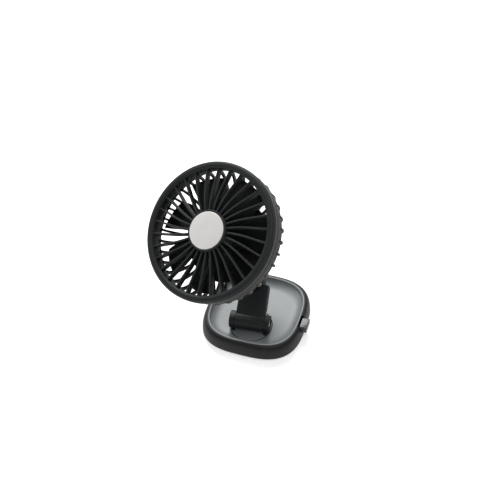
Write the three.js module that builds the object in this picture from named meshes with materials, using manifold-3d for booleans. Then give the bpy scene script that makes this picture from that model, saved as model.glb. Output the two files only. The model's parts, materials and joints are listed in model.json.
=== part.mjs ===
// Folding desk fan: a round caged head swivels and tilts on the top of a flat arm, and the arm folds
// on a hinge barrel that stands on a turntable let into a dished, rounded-square base.
// Millimetres, +Z up, the fan blows towards -Y, origin on the ground under the middle of the base.

import * as THREE from 'three';
import { mergeVertices } from 'three/addons/utils/BufferGeometryUtils.js';
import Module from 'manifold-3d';

const wasm = await Module();
wasm.setup();

// ---------------------------------------------------------------- driving dimensions

const GAP = 0.3; // between neighbouring pieces

const POSE = { turn: 5, lean: 50, swivel: -16.3, tilt: 1.6 }; // degrees, the position it is modelled in

const BASE = {
  lipHalf: 37.6, // half width across the crest of the lip
  lipWidth: 2.2,
  flare: 4.3, // the foot is this much wider than the lip, each side
  height: 13, // ground to the crest of the lip
  floorHeight: 8, // ground to the floor of the dish
  dishCurve: 9.4, // width of the curve from the lip down to the floor
  wall: 2,
  lipThickness: 2.8, // under the crest of the lip
  lipRound: 0.5,
  footEdge: 1.1, // height of the upright edge at the foot
  cornerPower: 3, // 2 is a circle, higher is squarer
  segments: 44,
};

const PAD = { thickness: 0.8, inset: 5 };
const COVER = { thickness: 1.5 };
const COVER_SCREW = {
  inset: 11.6, // from the crest of the lip, along X and along Y
  shank: 1,
  length: 5.2,
  head: 2.4,
  headHeight: 1.1,
  cupWall: 1.2,
  recess: 0.5,
};

const TABLE = {
  radius: 17.3,
  offsetY: -15.2, // its centre lies forward of the middle of the base
  thickness: 1.5,
  ledge: 1.2, // thickness of the ledge that carries it
  ledgeWidth: 4.3,
  bossWall: 3,
};
const RETAINER = { thickness: 1.3, overlap: 2.5, wireHole: 3 };
const RETAINER_SCREW = { reach: 7, shank: 1, head: 1.9, headHeight: 0.6, length: 3 };

const HINGE = {
  clearance: 0.4, // between the ears and the floor of the dish
  offsetY: -3, // from the turntable's centre
  earRadius: 7.1,
  earWidth: 4.2,
  footWidth: 0.88, // of the ear, where it meets the turntable
  halfLength: 16.4, // half the barrel, ears included
  shank: 2,
  headRadius: 3.7,
  headHeight: 1.4,
  nutRadius: 3.7,
  nutHeight: 2.2,
  washerRadius: 5.4,
  washerThickness: 0.8,
};

// shares of the head's radius and height, the same on every small screw
const SCREW_HEAD = { shoulder: 0.6, crown: 0.7, recess: 0.45, recessFloor: 0.5 };

const FASTENER = {
  sink: 0.2, // heads and nuts of the cross screws lie this far below the ears' faces
  endInset: 0.8, // the screws end this far inside the ears' faces
  socketWidth: 0.5, // of the head's radius
  socketFloor: 0.35, // of the head's height
};

const ARM = {
  taper: 0.3, // narrower by this much, each side, at the collar
  knuckleStep: 0.1, // the knuckle is this much smaller than the ears
  front: 5.2, // hinge axis to the front face
  back: 5.5, // hinge axis to the back face
  wall: 1.8,
  length: 30.5, // hinge axis to the collar
  earClearance: 1.5, // between the ears and the full-width part of the arm
  coverThickness: 2.2,
  coverEndGap: 0.5, // between the cover and the collar
  screwReach: [14, 25.5],
};
const ARM_SCREW = { shank: 1, head: 2.2, headHeight: 1, length: 5.4, post: 2.6, sink: 0.1 };

const COLLAR = { wall: 2.9, length: 13.6, bore: 5.3, counterboreStep: 1.7 };
const CLIP = { thickness: 0.8, clearance: 0.5, grooveDepth: 1.4, rise: 4.1, slot: 3 };

const TILT = {
  reach: 57.1, // hinge axis to tilt axis
  barrelRadius: 5.8,
  barrelHalf: 6.5,
  neck: 4.6,
  flangeThickness: 2.2,
  wireHole: 2,
  earWidth: 3.6,
  shank: 2,
  headRadius: 3.6,
  headHeight: 1.2,
  nutRadius: 3.6,
  nutHeight: 2,
};

const HEAD = {
  reach: 91.6, // tilt axis to the front plane of the ring
  ringOuter: 52,
  ringWidth: 5.6,
  ringDepth: 6.8,
  ringRound: 1.4,
  ringCrown: 0.3, // the middle of the ring stands this far above its edges
  spigotWall: 2.3,
  spigotDepth: 11,
  segments: 48,
};

const HUB = { radius: 15.3, rim: 1.2, front: -0.2, rimHeight: 1.1, depth: 5.7, bevel: 0.3 };
const BADGE = { thickness: 1.4, bevel: 0.3 };
const BLADE_GUARD = {
  count: 30,
  thickness: 1.3,
  depth: 5.4,
  dome: 1.1,
  outerFront: -1.5, // the dome starts this far from the ring's front plane
  sweep: 5, // degrees
  steps: 4,
};

const HOUSING = {
  bandStep: 0.6, // the band is this much smaller than the ring
  bandWall: 1.8,
  bandDepth: 10,
  depth: 34, // front plane of the ring to the back of the ribs
  ribs: 36,
  ribThickness: 1.7,
  ribHeight: 3.2,
  ribLap: 2, // the ribs run this far onto the band
  plateRadius: 33,
  plateLap: 4, // the ribs run this far onto the centre plate
  plateThickness: 2.6,
  bumpWall: 4.2,
  bumpDepth: 18,
  cornerPower: 2,
  steps: 4,
};

const MOTOR = {
  radius: 12,
  length: 18.5,
  front: -27.5, // from the front plane of the ring
  can: 0.8,
  capThickness: 2.9,
  cupWall: 2,
  magnetThickness: 2.3,
  magnetLength: 14,
  magnetGap: 0.35, // half the gap between the magnets, of their inner radius
  armatureRadius: 8,
  armatureLength: 12,
  commutatorRadius: 2.6,
  commutatorLength: 2.3,
  slotDepth: 3,
  slotHalf: 0.9,
  noseRadius: 3.2,
  noseHeight: 0.6,
  bearingDepth: 1.6,
  shaft: 1,
  shaftFront: -14,
  shaftLap: 1.2, // the shaft runs this far into the end cap
};

const IMPELLER = {
  blades: 7,
  hubClearance: 0.9, // between the cup and a cylinder as wide as the motor
  hubWall: 1.6,
  front: -7,
  hubDepth: 19,
  bossRadius: 3,
  bossDepth: 12,
  tipClearance: 3,
  bladeFront: -10,
  bladeDepth: 11,
  bladeThickness: 1.5,
  bladeTurn: 42, // degrees that one blade covers
  tipLead: 9, // degrees that the tip runs ahead of the root
  tipRound: 0.25, // how much of its width the blade loses at the corners of its tip
  tipFlattening: 0.2, // how much of its pitch the blade loses at its tip
  cupRound: 1.2,
};

const YOKE = {
  flangeInset: 1.1, // the flange is this much smaller than the housing's bump
  flangeThickness: 2.6,
  bodyRadius: 9,
  bodyFlare: 1,
  bodyHalfHeight: 5.8,
  mouth: 8, // tilt axis to the solid part of the yoke
  cheekLap: 4, // the cheeks run this far into the solid part
  screwReach: 12.7,
  wireHole: 2.5,
};
const YOKE_SCREW = { shank: 1, head: 2, headHeight: 1, length: 4.2 };
const MOTOR_SCREW = { reach: 8, shank: 0.9, head: 1.8, headHeight: 0.8, length: 3.8 };

const BUTTON = {
  centreY: -4,
  length: 12,
  bottom: 6.2,
  top: 11.8,
  inset: 0.9, // from the outside of the lip to the back of the cap
  proud: 3, // the cap stands this far outside the foot
  stemLength: 4.4,
  stemHalf: 2.4,
  stemBottom: 3.75,
  stemTop: 7,
  travel: 1,
  round: 1.2,
  clearance: 0.35,
};
const SWITCH = { depth: 3.5, width: 4.6, height: 2, sink: 0.2, plunger: 0.8, plungerOut: 1, spare: 0.3 };

const BOARD = {
  thickness: 1,
  underside: 3.4, // ground to its underside
  halfWidth: 24,
  backHalf: 16, // its back corners are cut away clear of the cover screws
  front: 8.5,
  corner: 20,
  back: 31.5,
  wingFront: -8,
  wingBack: 14,
};
const CHIP = { half: 2.5, y: 20, height: 0.9 };
const BOARD_SCREW = { reachX: 19, y: 14, shank: 0.8, head: 1.5, headHeight: 0.8, length: 2.6, post: 2.3 };
const SOCKET = {
  width: 9,
  height: 3.3,
  depth: 7.4,
  wall: 0.35,
  faceInset: 1.6,
  tongue: 0.7,
  tongueWidth: 6.6,
  tongueInset: 1.4, // from the mouth's edge to the end of the tongue
  mouth: 6.4,
};

// ---------------------------------------------------------------- worked-out places

const lipOuter = BASE.lipHalf + BASE.lipWidth / 2;
const footHalf = lipOuter + BASE.flare;
const coverBottom = PAD.thickness + GAP;
const coverTop = coverBottom + COVER.thickness;
const floorUnder = BASE.floorHeight - BASE.wall;
const tableUnder = BASE.floorHeight - TABLE.thickness;
const ledgeTop = tableUnder - GAP;
const ledgeUnder = ledgeTop - TABLE.ledge;
const tableHubRadius = TABLE.radius - TABLE.ledgeWidth;
const tableHubBottom = ledgeUnder - GAP;
const retainerTop = tableHubBottom - GAP;
const earInner = HINGE.halfLength - HINGE.earWidth;
const knuckleHalf = earInner - GAP;
const hingeHeight = BASE.floorHeight + HINGE.earRadius + HINGE.clearance;
const armBodyStart = HINGE.earRadius + ARM.earClearance;
const buttonBack = lipOuter + BUTTON.inset;
const buttonFace = footHalf + BUTTON.proud;
const stemEnd = buttonBack - BUTTON.stemLength;
const collarRadius = COLLAR.bore + COLLAR.wall;
const stemRadius = COLLAR.bore - GAP;
const grooveRadius = stemRadius - CLIP.grooveDepth;
const clipOuter = COLLAR.bore + COLLAR.counterboreStep - CLIP.clearance;
const clipBottom = ARM.length + CLIP.rise;
const collarTop = ARM.length + COLLAR.length;
const ringInner = HEAD.ringOuter - HEAD.ringWidth;
const bandOuter = HEAD.ringOuter - HOUSING.bandStep;
const bandInner = bandOuter - HOUSING.bandWall;
const spigotOuter = bandInner - GAP;
const spigotInner = spigotOuter - HEAD.spigotWall;
const tipRadius = spigotInner - IMPELLER.tipClearance;
const impellerHubRadius = MOTOR.radius + IMPELLER.hubClearance + IMPELLER.hubWall;
const cupInner = MOTOR.radius + GAP;
const bumpRadius = cupInner + HOUSING.bumpWall;
const ribFoot = HOUSING.plateRadius - HOUSING.plateLap;
const housingBack = -HOUSING.depth;
const bumpBack = housingBack - HOUSING.bumpDepth;
const motorBack = MOTOR.front - MOTOR.length;
const motorCapBack = motorBack - GAP - MOTOR.capThickness;

// ---------------------------------------------------------------- finishes

const FINISH = {
  charcoal: { color: 0x34373a, roughness: 0.5, metalness: 0 },
  black: { color: 0x121315, roughness: 0.45, metalness: 0 },
  shell: { color: 0x46494b, roughness: 0.35, metalness: 0.1 },
  rubber: { color: 0x1a1a1b, roughness: 0.9, metalness: 0 },
  silver: { color: 0xc9cac8, roughness: 0.4, metalness: 0.8 },
  steel: { color: 0xa9adb0, roughness: 0.35, metalness: 1 },
  board: { color: 0x1f5a3a, roughness: 0.6, metalness: 0 },
  copper: { color: 0xa5623a, roughness: 0.5, metalness: 0.7 },
  magnet: { color: 0x3a3a3d, roughness: 0.8, metalness: 0.1 },
  cap: { color: 0xa8acb0, roughness: 0.25, metalness: 0.2 },
  nylon: { color: 0xe2e0d8, roughness: 0.6, metalness: 0 },
};

// ---------------------------------------------------------------- solids from three.js shapes

const radians = THREE.MathUtils.degToRad;

/** Signed volume of an indexed closed geometry. */
function signedVolume(position, index) {
  const [a, b, c] = [new THREE.Vector3(), new THREE.Vector3(), new THREE.Vector3()];
  let six = 0;
  for (let i = 0; i < index.length; i += 3) {
    a.fromArray(position, 3 * index[i]);
    b.fromArray(position, 3 * index[i + 1]);
    c.fromArray(position, 3 * index[i + 2]);
    six += a.dot(b.cross(c));
  }
  return six / 6;
}

/** A three.js geometry as a manifold solid with its faces pointing out. */
function toSolid(geometry) {
  const bare = geometry.clone();
  bare.deleteAttribute('normal');
  bare.deleteAttribute('uv');
  const merged = mergeVertices(bare, 1e-4);
  const position = merged.getAttribute('position').array;
  const index = merged.getIndex().array;
  const kept = [];
  for (let i = 0; i < index.length; i += 3) {
    const [p, q, r] = [index[i], index[i + 1], index[i + 2]];
    if (p !== q && q !== r && r !== p) kept.push(p, q, r);
  }
  const outward = signedVolume(position, kept) > 0;
  const triVerts = new Uint32Array(kept.length);
  for (let i = 0; i < kept.length; i += 3) {
    triVerts[i] = kept[i];
    triVerts[i + 1] = outward ? kept[i + 1] : kept[i + 2];
    triVerts[i + 2] = outward ? kept[i + 2] : kept[i + 1];
  }
  const mesh = new wasm.Mesh({ numProp: 3, vertProperties: new Float32Array(position), triVerts });
  return new wasm.Manifold(mesh);
}

/** A manifold solid as a three.js geometry. */
function toGeometry(solid) {
  const mesh = solid.getMesh();
  const geometry = new THREE.BufferGeometry();
  geometry.setAttribute('position', new THREE.BufferAttribute(mesh.vertProperties, 3));
  geometry.setIndex(new THREE.BufferAttribute(mesh.triVerts, 1));
  geometry.computeVertexNormals();
  return geometry;
}

/** Geometries joined into one body. */
function join(...geometries) {
  return toGeometry(geometries.map(toSolid).reduce((whole, next) => whole.add(next)));
}

/** The first geometry with all the others taken out of it. */
function cut(body, ...tools) {
  return toGeometry(tools.map(toSolid).reduce((whole, next) => whole.subtract(next), toSolid(body)));
}

/** What two geometries share. */
function common(first, second) {
  return toGeometry(toSolid(first).intersect(toSolid(second)));
}

/** A profile of [radius, height] pairs turned about Z. */
function turned(profile, segments = 32) {
  const first = profile[0];
  const last = profile[profile.length - 1];
  const onAxis = first[0] === 0 && last[0] === 0;
  const loop = onAxis ? profile : [...profile, first];
  const points = loop.map(([radius, height]) => new THREE.Vector2(radius, height));
  return new THREE.LatheGeometry(points, segments).rotateX(Math.PI / 2);
}

/** A round bar along Z. */
function rod(radius, bottom, top, segments = 24) {
  return turned([[0, bottom], [radius, bottom], [radius, top], [0, top]], segments);
}

/** A round tube along Z. */
function tube(outer, inner, bottom, top, segments = 24) {
  return turned([[inner, bottom], [outer, bottom], [outer, top], [inner, top]], segments);
}

/** A round bar along X. */
function crossRod(radius, left, right, segments = 24) {
  return rod(radius, left, right, segments).rotateY(Math.PI / 2);
}

/** A rectangular block between two corners. */
function block([x0, y0, z0], [x1, y1, z1]) {
  const box = new THREE.BoxGeometry(x1 - x0, y1 - y0, z1 - z0);
  return box.translate((x0 + x1) / 2, (y0 + y1) / 2, (z0 + z1) / 2);
}

/** A flat outline of [x, y] points given a thickness along Z. */
function slab(points, bottom, top) {
  const outline = new THREE.Shape(points.map(([x, y]) => new THREE.Vector2(x, y)));
  const solid = new THREE.ExtrudeGeometry(outline, { depth: top - bottom, bevelEnabled: false });
  return solid.translate(0, 0, bottom);
}

/** A rectangle with rounded corners, centred on the origin, as [x, y] points. */
function roundedRectangle(width, height, radius, steps = 3) {
  const points = [];
  for (let corner = 0; corner < 4; corner += 1) {
    const sideX = corner === 0 || corner === 3 ? 1 : -1;
    const sideY = corner < 2 ? 1 : -1;
    for (let step = 0; step <= steps; step += 1) {
      const angle = (corner + step / steps) * (Math.PI / 2);
      points.push([
        sideX * (width / 2 - radius) + radius * Math.cos(angle),
        sideY * (height / 2 - radius) + radius * Math.sin(angle),
      ]);
    }
  }
  return points;
}

/** Points on an elliptic arc in the [radius, height] plane. */
function arc([centreR, centreZ], [radiusR, radiusZ], from, to, steps) {
  const points = [];
  for (let step = 0; step <= steps; step += 1) {
    const angle = radians(from + ((to - from) * step) / steps);
    points.push([centreR + radiusR * Math.cos(angle), centreZ + radiusZ * Math.sin(angle)]);
  }
  return points;
}

/** Turns the circles of a turned geometry into rounded squares of the base's corner power. */
function squared(geometry) {
  const position = geometry.getAttribute('position');
  for (let i = 0; i < position.count; i += 1) {
    const [x, y] = [position.getX(i), position.getY(i)];
    const radius = Math.hypot(x, y);
    if (radius > 0) {
      const power = BASE.cornerPower;
      const squareness = (Math.abs(x / radius) ** power + Math.abs(y / radius) ** power) ** (-1 / power);
      position.setXY(i, x * squareness, y * squareness);
    }
  }
  return geometry;
}

/** A named mesh with its own material. */
function piece(name, geometry, finish) {
  const mesh = new THREE.Mesh(geometry, new THREE.MeshStandardMaterial(FINISH[finish]));
  mesh.name = name;
  return mesh;
}

/** A closed copy of a geometry that needed no cutting. */
function closed(geometry) {
  return toGeometry(toSolid(geometry));
}

/** A screw along Z: its head from 0 upwards, its shank downwards, with a hexagon recess in the head. */
function screw({ shank, head, headHeight, length }) {
  const shoulder = headHeight * SCREW_HEAD.shoulder;
  const crown = head * SCREW_HEAD.crown;
  const body = turned([
    [0, -length], [shank, -length], [shank, 0], [head, 0], [head, shoulder], [crown, headHeight],
    [0, headHeight],
  ], 10);
  const recess = rod(head * SCREW_HEAD.recess, headHeight * SCREW_HEAD.recessFloor, headHeight + GAP, 6);
  return cut(body, recess);
}

// ---------------------------------------------------------------- base

/** The dished upper shell, with the turntable's seat, screw posts, button notch and socket opening. */
function baseShell() {
  const footTurn = coverBottom + BASE.footEdge;
  const lipInner = BASE.lipHalf - BASE.lipWidth / 2;
  const dishTop = BASE.height - BASE.lipRound;
  const dishEdge = lipInner - BASE.dishCurve;
  const dishDepth = dishTop - BASE.floorHeight;
  const outside = arc([lipOuter, footTurn], [BASE.flare, BASE.height - footTurn], 0, 90, 5);
  const dish = arc([dishEdge, dishTop], [BASE.dishCurve, dishDepth], 0, -90, 4);
  const underCurve = [BASE.dishCurve + BASE.wall, dishDepth + BASE.wall];
  const dishUnder = arc([dishEdge, dishTop], underCurve, -90, -25, 3);
  const insideCurve = [BASE.flare - BASE.wall, BASE.height - footTurn - BASE.lipThickness];
  const inside = arc([lipOuter, footTurn], insideCurve, 90, 0, 3);
  const profile = [
    [footHalf, coverBottom], ...outside, ...dish, [0, BASE.floorHeight],
    [0, floorUnder], ...dishUnder, ...inside, [footHalf - BASE.wall, coverBottom],
  ];
  // the profile is listed from the floor's middle round to the floor's underside
  const start = profile.findIndex(([radius, height]) => radius === 0 && height === floorUnder);
  const loop = [...profile.slice(start), ...profile.slice(0, start)];
  let shell = squared(turned(loop, BASE.segments));
  const boss = rod(TABLE.radius + TABLE.bossWall, ledgeUnder, floorUnder + BASE.wall / 2, 32);
  const posts = coverScrewPlaces().map(([x, y]) => screwPost(x, y));
  shell = join(shell, boss.translate(0, TABLE.offsetY, 0), ...posts);
  const seat = rod(TABLE.radius + GAP, ledgeTop, BASE.height + GAP, 40);
  const well = rod(tableHubRadius + GAP, ledgeUnder - GAP, ledgeTop + GAP, 32);
  const pilots = coverScrewPlaces().map(([x, y]) => pilotHole(x, y));
  return cut(shell, seat.translate(0, TABLE.offsetY, 0), well.translate(0, TABLE.offsetY, 0), ...pilots,
    buttonNotch(), socketOpening());
}

/** Centres of the four screws that hold the bottom cover. */
function coverScrewPlaces() {
  const reach = BASE.lipHalf - COVER_SCREW.inset;
  return [[reach, reach], [-reach, reach], [-reach, -reach], [reach, -reach]];
}

const screwSeat = coverBottom + COVER_SCREW.recess + COVER_SCREW.headHeight;
const cupTop = screwSeat + COVER_SCREW.cupWall;
const postBottom = cupTop + GAP;
const pilotTop = screwSeat + COVER_SCREW.length + GAP;

/** A post on the shell that one cover screw bites into. */
function screwPost(x, y) {
  return rod(COVER_SCREW.head + GAP, postBottom, BASE.floorHeight, 12).translate(x, y, 0);
}

/** The blind hole in one post. */
function pilotHole(x, y) {
  return rod(COVER_SCREW.shank + GAP, postBottom - GAP, pilotTop, 8).translate(x, y, 0);
}

/** The notch in the wall that the speed button slides in. */
function buttonNotch() {
  const half = BUTTON.length / 2 + BUTTON.clearance;
  const inner = buttonBack - BUTTON.travel - BUTTON.clearance;
  return block(
    [inner, BUTTON.centreY - half, BUTTON.bottom - BUTTON.clearance],
    [buttonFace + GAP, BUTTON.centreY + half, BASE.height + GAP],
  );
}

/** The opening in the back wall in front of the power socket. */
function socketOpening() {
  const outline = roundedRectangle(SOCKET.width + 2 * GAP, SOCKET.height + 2 * GAP, SOCKET.height / 2);
  return slab(outline, 0, footHalf).rotateX(-Math.PI / 2).translate(0, socketBack - GAP, socketHeight);
}

const socketBack = footHalf - SOCKET.faceInset - SOCKET.depth;
const socketHeight = coverTop + GAP + SOCKET.height / 2;

/** The bottom cover, with a screw cup at each corner and two posts under the board. */
function baseCover() {
  const half = footHalf - BASE.wall - GAP;
  const plate = squared(rod(half, coverBottom, coverTop, BASE.segments));
  const cupRadius = COVER_SCREW.head + GAP + COVER_SCREW.cupWall;
  const cups = coverScrewPlaces().map(([x, y]) => rod(cupRadius, coverBottom, cupTop, 12).translate(x, y, 0));
  const posts = boardScrewPlaces().map(([x, y]) => (
    rod(BOARD_SCREW.post, coverBottom, BOARD.underside - GAP, 10).translate(x, y, 0)
  ));
  const body = join(plate, ...cups, ...posts);
  const sinks = coverScrewPlaces().map(([x, y]) => (
    rod(COVER_SCREW.head + GAP, coverBottom - GAP, screwSeat + GAP, 12).translate(x, y, 0)
  ));
  const holes = coverScrewPlaces().map(([x, y]) => (
    rod(COVER_SCREW.shank + GAP, coverBottom, cupTop + GAP, 8).translate(x, y, 0)
  ));
  const boardHoles = boardScrewPlaces().map(([x, y]) => (
    rod(BOARD_SCREW.shank + GAP, boardScrewTip - GAP, BOARD.underside, 8).translate(x, y, 0)
  ));
  return cut(body, ...sinks, ...holes, ...boardHoles);
}

const boardScrewSeat = BOARD.underside + BOARD.thickness + GAP;
const boardScrewTip = boardScrewSeat - BOARD_SCREW.length;

/** Centres of the two screws that hold the board. */
function boardScrewPlaces() {
  return [[BOARD_SCREW.reachX, BOARD_SCREW.y], [-BOARD_SCREW.reachX, BOARD_SCREW.y]];
}

/** The soft pad that the fan stands on. */
function basePad() {
  return closed(squared(rod(footHalf - PAD.inset, 0, PAD.thickness, BASE.segments)));
}

/** The board, with a wing towards the button and its speed controller chip. */
function controlBoard() {
  const wingEdge = switchBack - GAP;
  const boardTop = BOARD.underside + BOARD.thickness;
  const outline = [
    [-BOARD.halfWidth, BOARD.front], [BOARD.halfWidth, BOARD.front], [BOARD.halfWidth, BOARD.wingFront],
    [wingEdge, BOARD.wingFront], [wingEdge, BOARD.wingBack], [BOARD.halfWidth, BOARD.wingBack],
    [BOARD.halfWidth, BOARD.corner], [BOARD.backHalf, BOARD.back], [-BOARD.backHalf, BOARD.back],
    [-BOARD.halfWidth, BOARD.corner],
  ];
  const plate = slab(outline, BOARD.underside, boardTop);
  const holes = boardScrewPlaces().map(([x, y]) => (
    rod(BOARD_SCREW.shank + GAP, BOARD.underside - GAP, boardTop + GAP, 8).translate(x, y, 0)
  ));
  const chip = block(
    [-CHIP.half, CHIP.y - CHIP.half, boardTop - GAP],
    [CHIP.half, CHIP.y + CHIP.half, boardTop + CHIP.height],
  );
  return cut(join(plate, chip), ...holes);
}

const switchTip = stemEnd - BUTTON.travel - SWITCH.spare;
const switchBack = switchTip - SWITCH.plungerOut - SWITCH.depth;

/** The side-push switch behind the button, set into the edge of the board's wing. */
function tactSwitch() {
  const bottom = BOARD.underside - SWITCH.sink;
  const front = switchTip - SWITCH.plungerOut;
  const half = SWITCH.width / 2;
  const body = block([switchBack, -half, bottom], [front, half, bottom + SWITCH.height]);
  const plunger = crossRod(SWITCH.plunger, front - SWITCH.plungerOut, switchTip, 12);
  return join(body, plunger.translate(0, 0, bottom + SWITCH.height / 2)).translate(0, BUTTON.centreY, 0);
}

/** The power socket, open towards the back. */
function powerSocket() {
  const outer = roundedRectangle(SOCKET.width, SOCKET.height, SOCKET.height / 2 - 0.01);
  const inner = roundedRectangle(SOCKET.width - 2 * SOCKET.wall, SOCKET.height - 2 * SOCKET.wall,
    SOCKET.height / 2 - SOCKET.wall - 0.01);
  const mouthStart = SOCKET.depth - SOCKET.mouth;
  const hollow = cut(slab(outer, 0, SOCKET.depth), slab(inner, mouthStart, SOCKET.depth + GAP));
  const half = SOCKET.tongueWidth / 2;
  const tongueEnd = SOCKET.depth - SOCKET.tongueInset;
  const tongue = block([-half, -SOCKET.tongue / 2, mouthStart - GAP], [half, SOCKET.tongue / 2, tongueEnd]);
  return join(hollow, tongue).rotateX(-Math.PI / 2).translate(0, socketBack, socketHeight);
}

/** The speed button: a cap in the notch of the wall and a stem towards the switch. */
function speedButton() {
  const height = BUTTON.top - BUTTON.bottom;
  const outline = roundedRectangle(height, BUTTON.length, BUTTON.round);
  const centreZ = (BUTTON.top + BUTTON.bottom) / 2;
  const cap = slab(outline, buttonBack, buttonFace).rotateY(Math.PI / 2).translate(0, 0, centreZ);
  const stem = block(
    [stemEnd, -BUTTON.stemHalf, BUTTON.stemBottom],
    [buttonBack + BUTTON.clearance, BUTTON.stemHalf, BUTTON.stemTop],
  );
  return join(cap, stem).translate(0, BUTTON.centreY, 0);
}

/** Everything that stays still on the table. */
function baseGroup() {
  const group = new THREE.Group();
  group.add(
    piece('base_pad', basePad(), 'rubber'),
    piece('base_cover', baseCover(), 'black'),
    piece('base_shell', baseShell(), 'shell'),
    piece('control_board', controlBoard(), 'board'),
    piece('button_switch', tactSwitch(), 'black'),
    piece('power_socket', powerSocket(), 'steel'),
    piece('speed_button', speedButton(), 'cap'),
  );
  coverScrewPlaces().forEach(([x, y], number) => {
    const bolt = piece(`cover_screw_${number + 1}`, screw(COVER_SCREW), 'steel');
    bolt.rotation.x = Math.PI;
    bolt.position.set(x, y, screwSeat);
    group.add(bolt);
  });
  boardScrewPlaces().forEach(([x, y], number) => {
    const bolt = piece(`board_screw_${number + 1}`, screw(BOARD_SCREW), 'steel');
    bolt.position.set(x, y, boardScrewSeat);
    group.add(bolt);
  });
  return group;
}

// ---------------------------------------------------------------- turntable and hinge barrel

/** The turntable: a disc flush with the dish, a hub through the ledge and two hinge ears. */
function turntable() {
  const disc = rod(TABLE.radius, tableUnder, BASE.floorHeight, 40);
  const hub = rod(tableHubRadius, tableHubBottom, tableUnder + GAP, 32);
  const footprint = rod(TABLE.radius - GAP, tableUnder, hingeHeight, 40);
  const ears = [-1, 1].map((side) => {
    const [left, right] = side < 0 ? [-HINGE.halfLength, -earInner] : [earInner, HINGE.halfLength];
    const eye = crossRod(HINGE.earRadius, left, right, 32).translate(0, HINGE.offsetY, hingeHeight);
    const halfDepth = HINGE.earRadius * HINGE.footWidth;
    const foot = block([left, HINGE.offsetY - halfDepth, tableUnder + GAP],
      [right, HINGE.offsetY + halfDepth, hingeHeight]);
    return join(eye, common(foot, footprint));
  });
  const bore = crossRod(HINGE.shank + GAP, -HINGE.halfLength - 1, HINGE.halfLength + 1, 16);
  const headSink = crossRod(HINGE.headRadius + GAP, hingeHeadSeat - GAP, HINGE.halfLength + 1, 24);
  const nutSink = crossRod(HINGE.nutRadius + GAP, -HINGE.halfLength - 1, GAP - hingeNutSeat, 6);
  const sinks = [bore, headSink, nutSink].map((tool) => tool.translate(0, HINGE.offsetY, hingeHeight));
  const pilots = retainerScrewPlaces().map(([x, y]) => (
    rod(RETAINER_SCREW.shank + GAP, tableHubBottom - GAP, retainerScrewTip + GAP, 12).translate(x, y, 0)
  ));
  return cut(join(disc, hub, ...ears), ...sinks, ...pilots);
}

const hingeHeadSeat = HINGE.halfLength - HINGE.headHeight - FASTENER.sink;
const hingeNutSeat = HINGE.halfLength - HINGE.nutHeight - FASTENER.sink;

/** Centres of the screws that hold the retainer up against the turntable's hub. */
function retainerScrewPlaces() {
  return [30, 150, 270].map((angle) => (
    [RETAINER_SCREW.reach * Math.cos(radians(angle)), RETAINER_SCREW.reach * Math.sin(radians(angle))]
  ));
}

const retainerBottom = retainerTop - RETAINER.thickness;
const retainerScrewSeat = retainerBottom + RETAINER_SCREW.headHeight;
const retainerScrewTip = retainerScrewSeat + RETAINER_SCREW.length;

/** The steel plate under the ledge that keeps the turntable down. */
function retainer() {
  const plate = rod(tableHubRadius + RETAINER.overlap, retainerBottom, retainerTop, 32);
  const wireHole = rod(RETAINER.wireHole, retainerBottom - GAP, retainerTop + GAP, 16);
  const holes = retainerScrewPlaces().flatMap(([x, y]) => [
    rod(RETAINER_SCREW.shank + GAP, retainerBottom - GAP, retainerTop + GAP, 8).translate(x, y, 0),
    rod(RETAINER_SCREW.head + GAP, retainerBottom - GAP, retainerScrewSeat + GAP, 10).translate(x, y, 0),
  ]);
  return cut(plate, wireHole, ...holes);
}

/** The hinge screw, with a hexagon socket in its head. */
function hingeScrew() {
  const seat = hingeHeadSeat;
  const end = seat + HINGE.headHeight;
  const head = crossRod(HINGE.headRadius, seat, end, 24);
  const shank = crossRod(HINGE.shank, FASTENER.endInset - HINGE.halfLength, seat + GAP, 16);
  const socketFloor = seat + HINGE.headHeight * FASTENER.socketFloor;
  const socket = crossRod(HINGE.headRadius * FASTENER.socketWidth, socketFloor, end + GAP, 6);
  return cut(join(head, shank), socket);
}

/** The hexagonal nut at the other end of the hinge. */
function hingeNut() {
  const outer = hingeNutSeat + HINGE.nutHeight;
  const hexagon = crossRod(HINGE.nutRadius, -outer, -hingeNutSeat, 6);
  return cut(hexagon, crossRod(HINGE.shank + GAP, -outer - 1, -hingeNutSeat + 1, 16));
}

/** A friction washer in the end of the arm's knuckle; side is -1 or 1. */
function hingeWasher(side) {
  const innerEnd = knuckleHalf - HINGE.washerThickness;
  const washer = tube(HINGE.washerRadius, HINGE.shank + GAP, innerEnd, knuckleHalf, 24);
  return closed(washer.rotateY((side * Math.PI) / 2));
}

/** The turntable and all that turns with it. */
function turntableGroup() {
  const group = new THREE.Group();
  group.position.set(0, TABLE.offsetY, 0);
  group.rotation.z = radians(POSE.turn);
  const screwPiece = piece('hinge_screw', hingeScrew(), 'steel');
  const nutPiece = piece('hinge_nut', hingeNut(), 'steel');
  screwPiece.position.set(0, HINGE.offsetY, hingeHeight);
  nutPiece.position.set(0, HINGE.offsetY, hingeHeight);
  group.add(
    piece('turntable', turntable(), 'shell'),
    piece('turntable_retainer', retainer(), 'steel'),
    screwPiece,
    nutPiece,
  );
  retainerScrewPlaces().forEach(([x, y], number) => {
    const bolt = piece(`retainer_screw_${number + 1}`, screw(RETAINER_SCREW), 'steel');
    bolt.rotation.x = Math.PI;
    bolt.position.set(x, y, retainerScrewSeat);
    group.add(bolt);
  });
  group.add(armGroup());
  return group;
}

// ---------------------------------------------------------------- arm

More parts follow.
